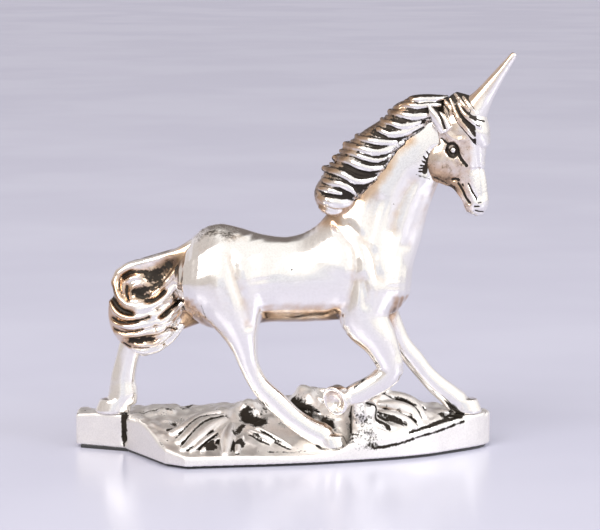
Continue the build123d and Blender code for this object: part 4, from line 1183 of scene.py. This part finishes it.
# Mane: a crest of wavy locks cast in one piece and soldered along the top of the neck.
# Each lock sweeps back from the neck and curls up at its end; the grooves between are black.
HAIR_CELL = 0.2
MANE_WIDTH = 11.0
LOCK_RELIEF = 0.7
FINE_RADIUS = 0.3
HAIR_SILVER = (0.93, 0.90, 0.87, 1)
CREST_WAY = (-0.75, 0, 0.66)
# Mane slices from the poll to the withers: tip x and z, root x and z, share of the width
MANE = [
    (21.5, 61.8, 28.3, 62.4, 0.40),
    (19.4, 60.4, 28.0, 60.8, 0.58),
    (18.1, 59.2, 26.8, 59.0, 0.68),
    (16.1, 57.8, 25.6, 57.4, 0.75),
    (13.3, 55.9, 23.6, 55.6, 0.81),
    (11.4, 54.2, 22.0, 54.0, 0.85),
    (10.3, 52.7, 21.0, 52.6, 0.88),
    (9.3, 51.3, 20.0, 51.0, 0.91),
    (7.6, 49.9, 18.9, 49.4, 0.95),
    (6.7, 48.4, 17.4, 47.9, 0.98),
    (5.6, 46.8, 15.6, 46.0, 1.00),
    (5.6, 45.0, 13.6, 44.4, 0.93),
    (6.6, 43.0, 10.8, 42.6, 0.60),
]
# Locks seen from the side, from the neck to the tip, each with its half thickness
MANE_LOCKS = [
    ([(28.2, 62.2), (26.4, 62.0), (24.0, 61.9), (22.0, 61.8)], 0.60),
    ([(27.0, 61.0), (25.1, 61.0), (22.8, 60.8), (21.0, 61.0), (19.4, 60.4)], 0.60),
    ([(26.2, 59.2), (24.6, 59.3), (22.0, 59.1), (20.4, 59.4), (18.6, 59.7)], 0.85),
    ([(23.6, 58.2), (21.8, 57.7), (20.4, 57.5), (18.9, 57.9), (17.2, 58.3)], 0.65),
    ([(24.2, 57.7), (22.0, 56.9), (19.8, 56.2), (18.2, 56.2), (16.4, 57.0)], 0.85),
    ([(19.6, 54.9), (17.6, 54.8), (15.4, 55.0), (12.9, 55.5)], 0.70),
    ([(20.6, 54.7), (19.4, 54.2), (17.6, 53.4), (15.7, 53.2), (13.4, 53.7), (11.0, 54.1)], 0.90),
    ([(18.4, 52.4), (16.4, 51.8), (14.2, 52.2), (11.8, 52.9), (10.2, 53.0)], 0.55),
    ([(17.4, 50.6), (15.4, 50.4), (12.9, 51.0), (11.4, 51.6), (9.2, 51.8)], 0.90),
    ([(16.0, 48.7), (14.5, 48.3), (12.6, 48.3), (10.7, 49.3), (9.2, 49.7), (7.4, 50.0)], 0.85),
    ([(12.8, 45.8), (11.8, 46.9), (10.3, 47.7), (8.4, 47.9), (7.3, 48.2)], 0.85),
    ([(10.2, 46.2), (8.6, 46.6), (7.6, 46.7), (6.5, 46.9)], 0.60),
    ([(12.0, 44.6), (9.5, 44.5), (6.7, 45.2)], 1.15),
    ([(10.8, 43.1), (8.8, 43.0), (6.8, 43.6)], 0.85),
]
# Frayed inner edge of the mane, where grey hairs break the black
MANE_SPECKS = [(25.0, 58.4), (24.4, 56.9), (21.7, 55.7), (19.7, 54.0), (18.1, 51.7), (17.1, 49.8),
               (15.1, 47.2), (12.4, 45.2)]


def strand_on(clay, core, line, radius, sink, blend, hand):
    """A lock of hair laid on a core along a line seen from the side, thinner towards its ends."""
    sizes = radius * (0.42 + 0.58 * np.sin(np.linspace(0.2, math.pi - 0.3, LINE_STEPS)))
    sides = hand * np.arange(0, 8, 0.1)
    rows = []
    for (x, z), size in zip(flowing(line), sizes):
        gaps = core.sample(np.column_stack([np.full(len(sides), x), sides, np.full(len(sides), z)]))
        inside = sides[gaps < 0]
        rows.append((x, inside[-1] - hand * sink if len(inside) else 0.0, z, size))
    clay.rope(rows, blend)


def hair_values(locks, fine, points):
    """Bright along the ridge of each lock, black between, with fine grey hairs in the black."""
    x, z = points[:, 0], points[:, 2]
    black = np.full(len(points), 1.3)
    for line, radius in locks:
        halves = radius * (0.02 + 0.38 * np.sin(np.linspace(0.15, math.pi - 0.15, LINE_STEPS)))
        gap = line_distance(x, z, flowing(line), halves)
        black = np.minimum(black, np.clip(gap / 0.30, 0, 1.3))
    hair = np.zeros(len(points))
    for line in fine:
        hair = np.maximum(hair, faded(line_distance(x, z, line), 0.16))
    return black * (1 - 0.40 * hair)


mane = Clay((1.5, -8.0, 38.0), (31.0, 8.0, 66.0), HAIR_CELL)
mane.limb([((tip_x + root_x) / 2, 0, (tip_z + root_z) / 2, root_x - tip_x - 0.4 * LOCK_RELIEF,
            width * MANE_WIDTH - 2 * LOCK_RELIEF) for tip_x, tip_z, root_x, root_z, width in MANE],
          way=(0, 0, 1), cap=0.4)
mane_core = mane.copy()
for (line, radius), hand in product(MANE_LOCKS, (-1, 1)):
    strand_on(mane, mane_core, line, radius, radius - 0.75, 0.2, hand)
mane_fine = [between(a, b) for (a, *_), (b, *_) in zip(MANE_LOCKS[1:-3], MANE_LOCKS[2:-2])]
for line, hand in product(mane_fine, (-1, 1)):
    strand_on(mane, mane_core, line, FINE_RADIUS, 0.05, 0.1, hand)
hair_silver = paint_silver("hair_silver", HAIR_SILVER, 0.14, 0.95)
points, faces, ways = mane.surface()
x, z = points[:, 0], points[:, 2]
rim = faded(line_distance(x, z, [place[:2] for place in MANE]), 1.1)
frayed = faded(line_distance(x, z, flowing(MANE_SPECKS)), 0.75)
patina_and_shade = hair_values(MANE_LOCKS, mane_fine, points) * (1 - 0.4 * rim) * np.clip((z - 44.4) / 1.6, 0.2, 1)
# Painted shade: faces of the mane turned up and back are made browner and less black, as a shaded side.
crest = np.clip(ways @ CREST_WAY * 1.6 - 0.5, 0, 1)
patina_and_shade = (patina_and_shade * (1 - frayed) + 0.47 * frayed) * (1 - 0.62 * crest)
values = {"patina_and_shade": patina_and_shade, "warm": 0.12 + 0.35 * crest + 0.45 * rim}
show("mane", mesh_of("mane", points, faces, ways, values, hair_silver))

# Forelock: a small white-metal casting of swept strands, soldered over the brow between the ears.
# It closes round the foot of the horn, and the grooves between its strands are black.
FORELOCK_CELL = 0.15
FORELOCK_WIDTH, FORELOCK_DEPTH = 7.0, 7.6
FORELOCK_CORE = 0.9
# Forelock rows: along the head from the poll, bow, depth, width
FORELOCK = [
    (-0.03, 0.03, 0.55, 0.50),
    (0.10, 0.10, 0.95, 0.92),
    (0.22, 0.14, 0.90, 1.00),
    (0.34, 0.18, 0.66, 0.92),
    (0.43, 0.21, 0.34, 0.55),
]
FORELOCK_LOCKS = [
    ([(25.8, 61.6), (27.2, 60.0), (28.2, 58.6), (28.8, 57.2)], 0.55),
    ([(27.4, 62.2), (28.4, 61.2), (29.2, 60.2), (29.2, 58.6)], 0.60),
    ([(29.0, 62.0), (29.8, 60.4), (30.6, 58.8), (32.0, 57.0), (33.2, 55.6)], 0.60),
    ([(30.4, 61.4), (31.4, 59.8), (32.8, 58.5), (34.2, 57.4)], 0.55),
    ([(28.6, 57.0), (29.6, 56.2), (30.8, 55.4), (31.8, 54.7)], 0.60),
    ([(29.8, 62.8), (31.0, 61.5), (32.4, 60.1)], 0.50),
    ([(31.2, 62.4), (32.4, 61.0), (33.4, 59.8)], 0.45),
]
# Black lines over the brow: line, half width and how black
BROW_INK = [
    ([(32.5, 59.1), (33.7, 58.7), (34.8, 58.3)], 0.16, 1.0),
    ([(33.7, 57.8), (34.2, 57.6)], 0.16, 0.9),
]
forelock = Clay((22.0, -6.0, 50.0), (38.0, 6.0, 66.0), FORELOCK_CELL)
forelock.limb([(x, 0, z, depth * FORELOCK_DEPTH * FORELOCK_CORE, width * FORELOCK_WIDTH * FORELOCK_CORE)
               for along, bow, depth, width in FORELOCK for x, z in [along_head(along, bow)]], cap=0.4)
forelock_core = forelock.copy()
for (line, radius), hand in product(FORELOCK_LOCKS, (-1, 1)):
    strand_on(forelock, forelock_core, line, radius, 0.1, 0.15, hand)
forelock_fine = [between(a, b) for (a, *_), (b, *_) in zip(FORELOCK_LOCKS[:3], FORELOCK_LOCKS[1:4])]


def forelock_values(points, ways):
    x, z = points[:, 0], points[:, 2]
    slim = [(line, 0.8 * radius) for line, radius in FORELOCK_LOCKS]
    black = hair_values(slim, forelock_fine, points) * np.clip((33.9 - x) / 0.7, 0, 1)
    return {"patina_and_shade": np.maximum(black, inked(x, z, BROW_INK)), "warm": 0.44 * np.clip((34.0 - x) / 2, 0, 1)}


show_turned("forelock", forelock, forelock_values, hair_silver)

# Tail: one white-metal casting of hair wound into a swirl, pinned and soldered to the dock.
# It rests against the far thigh, and the hollows of the swirl are left black.
TAIL_LENGTH, TAIL_DEPTH, TAIL_WIDTH, TAIL_PITCH = 18.7, 12.6, 6.8, -112.0
TAIL_CORE_DEPTH, TAIL_CORE_WIDTH = 0.92, 0.86
DOCK = (-15.45, 35.5)
# Hair over the dock, from the croup down, and the stain on it
DOCK_ROPE = [(-12.6, -0.4, 38.2, 1.3), (-14.6, -0.5, 36.6, 1.5), (-17.6, -0.4, 34.4, 1.7)]
DOCK_STAIN = ([(-16.2, 35.9), (-18.0, 34.4), (-19.8, 33.4)], 1.3, 0.6)
# Tail rows: along from the dock to the end, bow, depth, width
TAIL = [
    (0.00, 0.00, 0.27, 0.47),
    (0.26, -0.15, 0.57, 0.71),
    (0.56, -0.24, 1.00, 1.00),
    (0.83, -0.13, 0.92, 0.94),
    (1.00, 0.00, 0.35, 0.41),
]
# Locks seen from the side, each with its half thickness
TAIL_LOCKS = [
    ([(-14.4, 37.2), (-17.3, 35.7), (-19.6, 34.9), (-22.7, 33.9), (-25.7, 33.0), (-27.5, 32.1), (-28.4, 30.6),
      (-28.5, 29.2), (-27.6, 27.5), (-25.6, 26.5), (-23.3, 27.0)], 0.95),
    ([(-14.8, 36.9), (-16.9, 34.5), (-18.4, 32.3), (-19.9, 30.6), (-22.1, 28.6), (-23.3, 27.5)], 0.70),
    ([(-27.0, 29.2), (-26.9, 30.5), (-25.7, 31.3), (-24.2, 31.5), (-23.3, 31.0)], 0.50),
    ([(-25.9, 27.5), (-25.6, 29.2), (-25.0, 30.0), (-23.7, 30.4)], 0.55),
    ([(-17.3, 31.1), (-19.3, 28.7), (-22.0, 26.7), (-25.2, 25.9), (-27.9, 26.7), (-29.0, 28.7)], 0.80),
    ([(-16.7, 29.3), (-18.9, 26.5), (-22.1, 24.9), (-25.4, 24.6), (-28.2, 25.3), (-29.3, 27.1)], 0.80),
    ([(-16.9, 26.9), (-19.7, 24.3), (-22.9, 23.5), (-26.0, 23.0), (-28.8, 23.6)], 0.75),
    ([(-17.3, 25.3), (-20.1, 22.6), (-23.5, 21.8), (-26.2, 21.3), (-28.6, 21.8)], 0.70),
    ([(-17.4, 24.0), (-19.7, 21.2), (-22.0, 19.9), (-24.4, 19.7), (-27.2, 20.6)], 0.60),
    ([(-17.0, 22.8), (-19.3, 20.2), (-22.1, 18.7), (-24.7, 18.6), (-26.6, 19.6)], 0.70),
]
# Black hollows of the swirl seen from the side: line, half width and how black
TAIL_INK = [
    ([(-27.1, 31.3), (-26.0, 32.0), (-24.7, 32.3), (-23.1, 32.3)], 0.38, 1.1),
    ([(-22.9, 32.0), (-21.1, 32.3), (-19.8, 32.9), (-19.2, 33.6)], 1.05, 0.9),
    ([(-22.3, 30.8), (-21.2, 31.4), (-20.1, 31.8)], 0.85, 0.85),
    ([(-24.9, 29.0), (-23.6, 29.2), (-22.1, 29.7), (-20.8, 30.4)], 0.85, 1.0),
    ([(-24.6, 28.3), (-23.6, 28.1), (-22.9, 28.4)], 0.50, 1.1),
    ([(-27.7, 30.9), (-27.8, 29.5), (-27.1, 28.3)], 0.22, 0.8),
    ([(-26.4, 30.0), (-26.5, 28.6), (-26.2, 27.7)], 0.28, 1.1),
    ([(-23.1, 27.5), (-22.3, 27.5), (-21.2, 28.0), (-20.0, 29.1)], 0.36, 1.1),
    ([(-29.3, 29.2), (-28.8, 27.5), (-27.8, 26.3), (-26.9, 25.7), (-25.8, 25.4)], 0.55, 1.2),
    ([(-28.9, 24.3), (-27.8, 23.7), (-26.6, 23.7), (-24.9, 24.1), (-23.7, 24.4), (-22.6, 24.8)], 0.26, 1.1),
    ([(-28.7, 22.4), (-27.3, 22.0), (-26.1, 22.0), (-24.9, 22.2), (-23.7, 22.6)], 0.18, 1.0),
    ([(-25.8, 20.5), (-24.6, 20.5), (-23.4, 20.8), (-22.0, 20.7)], 0.75, 0.95),
    ([(-27.2, 19.9), (-26.6, 19.6), (-26.0, 19.3)], 0.22, 0.9),
    ([(-25.4, 19.2), (-24.2, 19.1), (-22.8, 19.3)], 0.15, 0.9),
    ([(-20.6, 24.7), (-19.7, 25.5), (-18.6, 26.4), (-17.4, 28.0)], 0.36, 1.1),
    ([(-19.5, 22.7), (-18.9, 22.5), (-18.3, 22.3)], 0.22, 0.9),
    ([(-21.5, 21.3), (-19.8, 22.4), (-18.2, 24.4)], 0.14, 0.7),
    ([(-21.5, 23.3), (-21.4, 22.1)], 0.30, 0.55),
    ([(-21.3, 26.0), (-20.6, 26.0)], 0.25, 0.50),
]
tail = Clay((-32.0, -6.5, 15.5), (-12.0, 6.5, 40.0), HAIR_CELL)
tail_end = (DOCK[0] + TAIL_LENGTH * math.cos(math.radians(TAIL_PITCH)),
            DOCK[1] + TAIL_LENGTH * math.sin(math.radians(TAIL_PITCH)))
tail.limb(rigged(DOCK, tail_end, [
    (along, bow, 0, depth * TAIL_DEPTH * TAIL_CORE_DEPTH, width * TAIL_WIDTH * TAIL_CORE_WIDTH)
    for along, bow, depth, width in TAIL
]), cap=0.4)
tail_core = tail.copy()
for (line, radius), hand in product(TAIL_LOCKS, (-1, 1)):
    strand_on(tail, tail_core, line, radius, 0.10, 0.2, hand)
tail.rope(DOCK_ROPE, 0.8)
for line, width, black in TAIL_INK:
    tail.mark(line, 0.45 * black * min(1, width / 0.3), width)
softened(tail.field, 1)
points, faces, ways = tail.surface()
x, z = points[:, 0], points[:, 2]
sides = np.clip(np.abs(ways[:, 1]) * 3 - 0.4, 0, 1)
ink = inked(x, z, TAIL_INK) * sides * 0.80
groove = tail.grime_and_shade(points, ways, reach=0.7, gain=1.6, start=0.45, limit=0.7)
dock = inked(x, z, [DOCK_STAIN])
stained = 0.55 * inked(x, z, [(line, 1.7 * width, black) for line, width, black in TAIL_INK])
values = {
    "patina_and_shade": np.maximum(ink, groove),
    "warm": 0.06 + dock + stained + 0.34 * np.clip((-24 - x) / 5, 0, 1),
}
show("tail", mesh_of("tail", points, faces, ways, values, hair_silver))

# Pins: short lengths of drawn brass wire that line the castings up for soldering.
# They lie inside the metal, so they keep their plain shapes and take a drawn-wire finish.
BRASS_DULL = (0.70, 0.50, 0.22, 1)
BRASS_BRIGHT = (0.84, 0.66, 0.34, 1)
BRASS_STAIN = (0.38, 0.24, 0.10, 1)


def paint_brass():
    material = bpy.data.materials.new("drawn_brass")
    tree = Tree(material)
    place = tree.put("TexCoord").outputs["Object"]
    drawn = tree.noise(place, 2600.0, 4.0)
    stain = tree.noise(place, 500.0, 3.0)
    colour = tree.mix(drawn, BRASS_DULL, BRASS_BRIGHT)
    colour = tree.mix(tree.step(stain, 0.5, 0.75), colour, BRASS_STAIN)
    polish = tree.step(drawn, 0.3, 0.7, 0.28, 0.45)
    bump = tree.put("Bump", {"Strength": 0.2, "Distance": 0.00003, "Height": drawn})
    inputs = {"Base Color": colour, "Roughness": polish, "Metallic": 1.0, "Normal": bump.outputs[0]}
    tree.finish(tree.put("BsdfPrincipled", inputs))
    return material


brass = paint_brass()
for name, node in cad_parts.items():
    if name.endswith("_pin"):
        node.data.materials.clear()
        node.data.materials.append(brass)
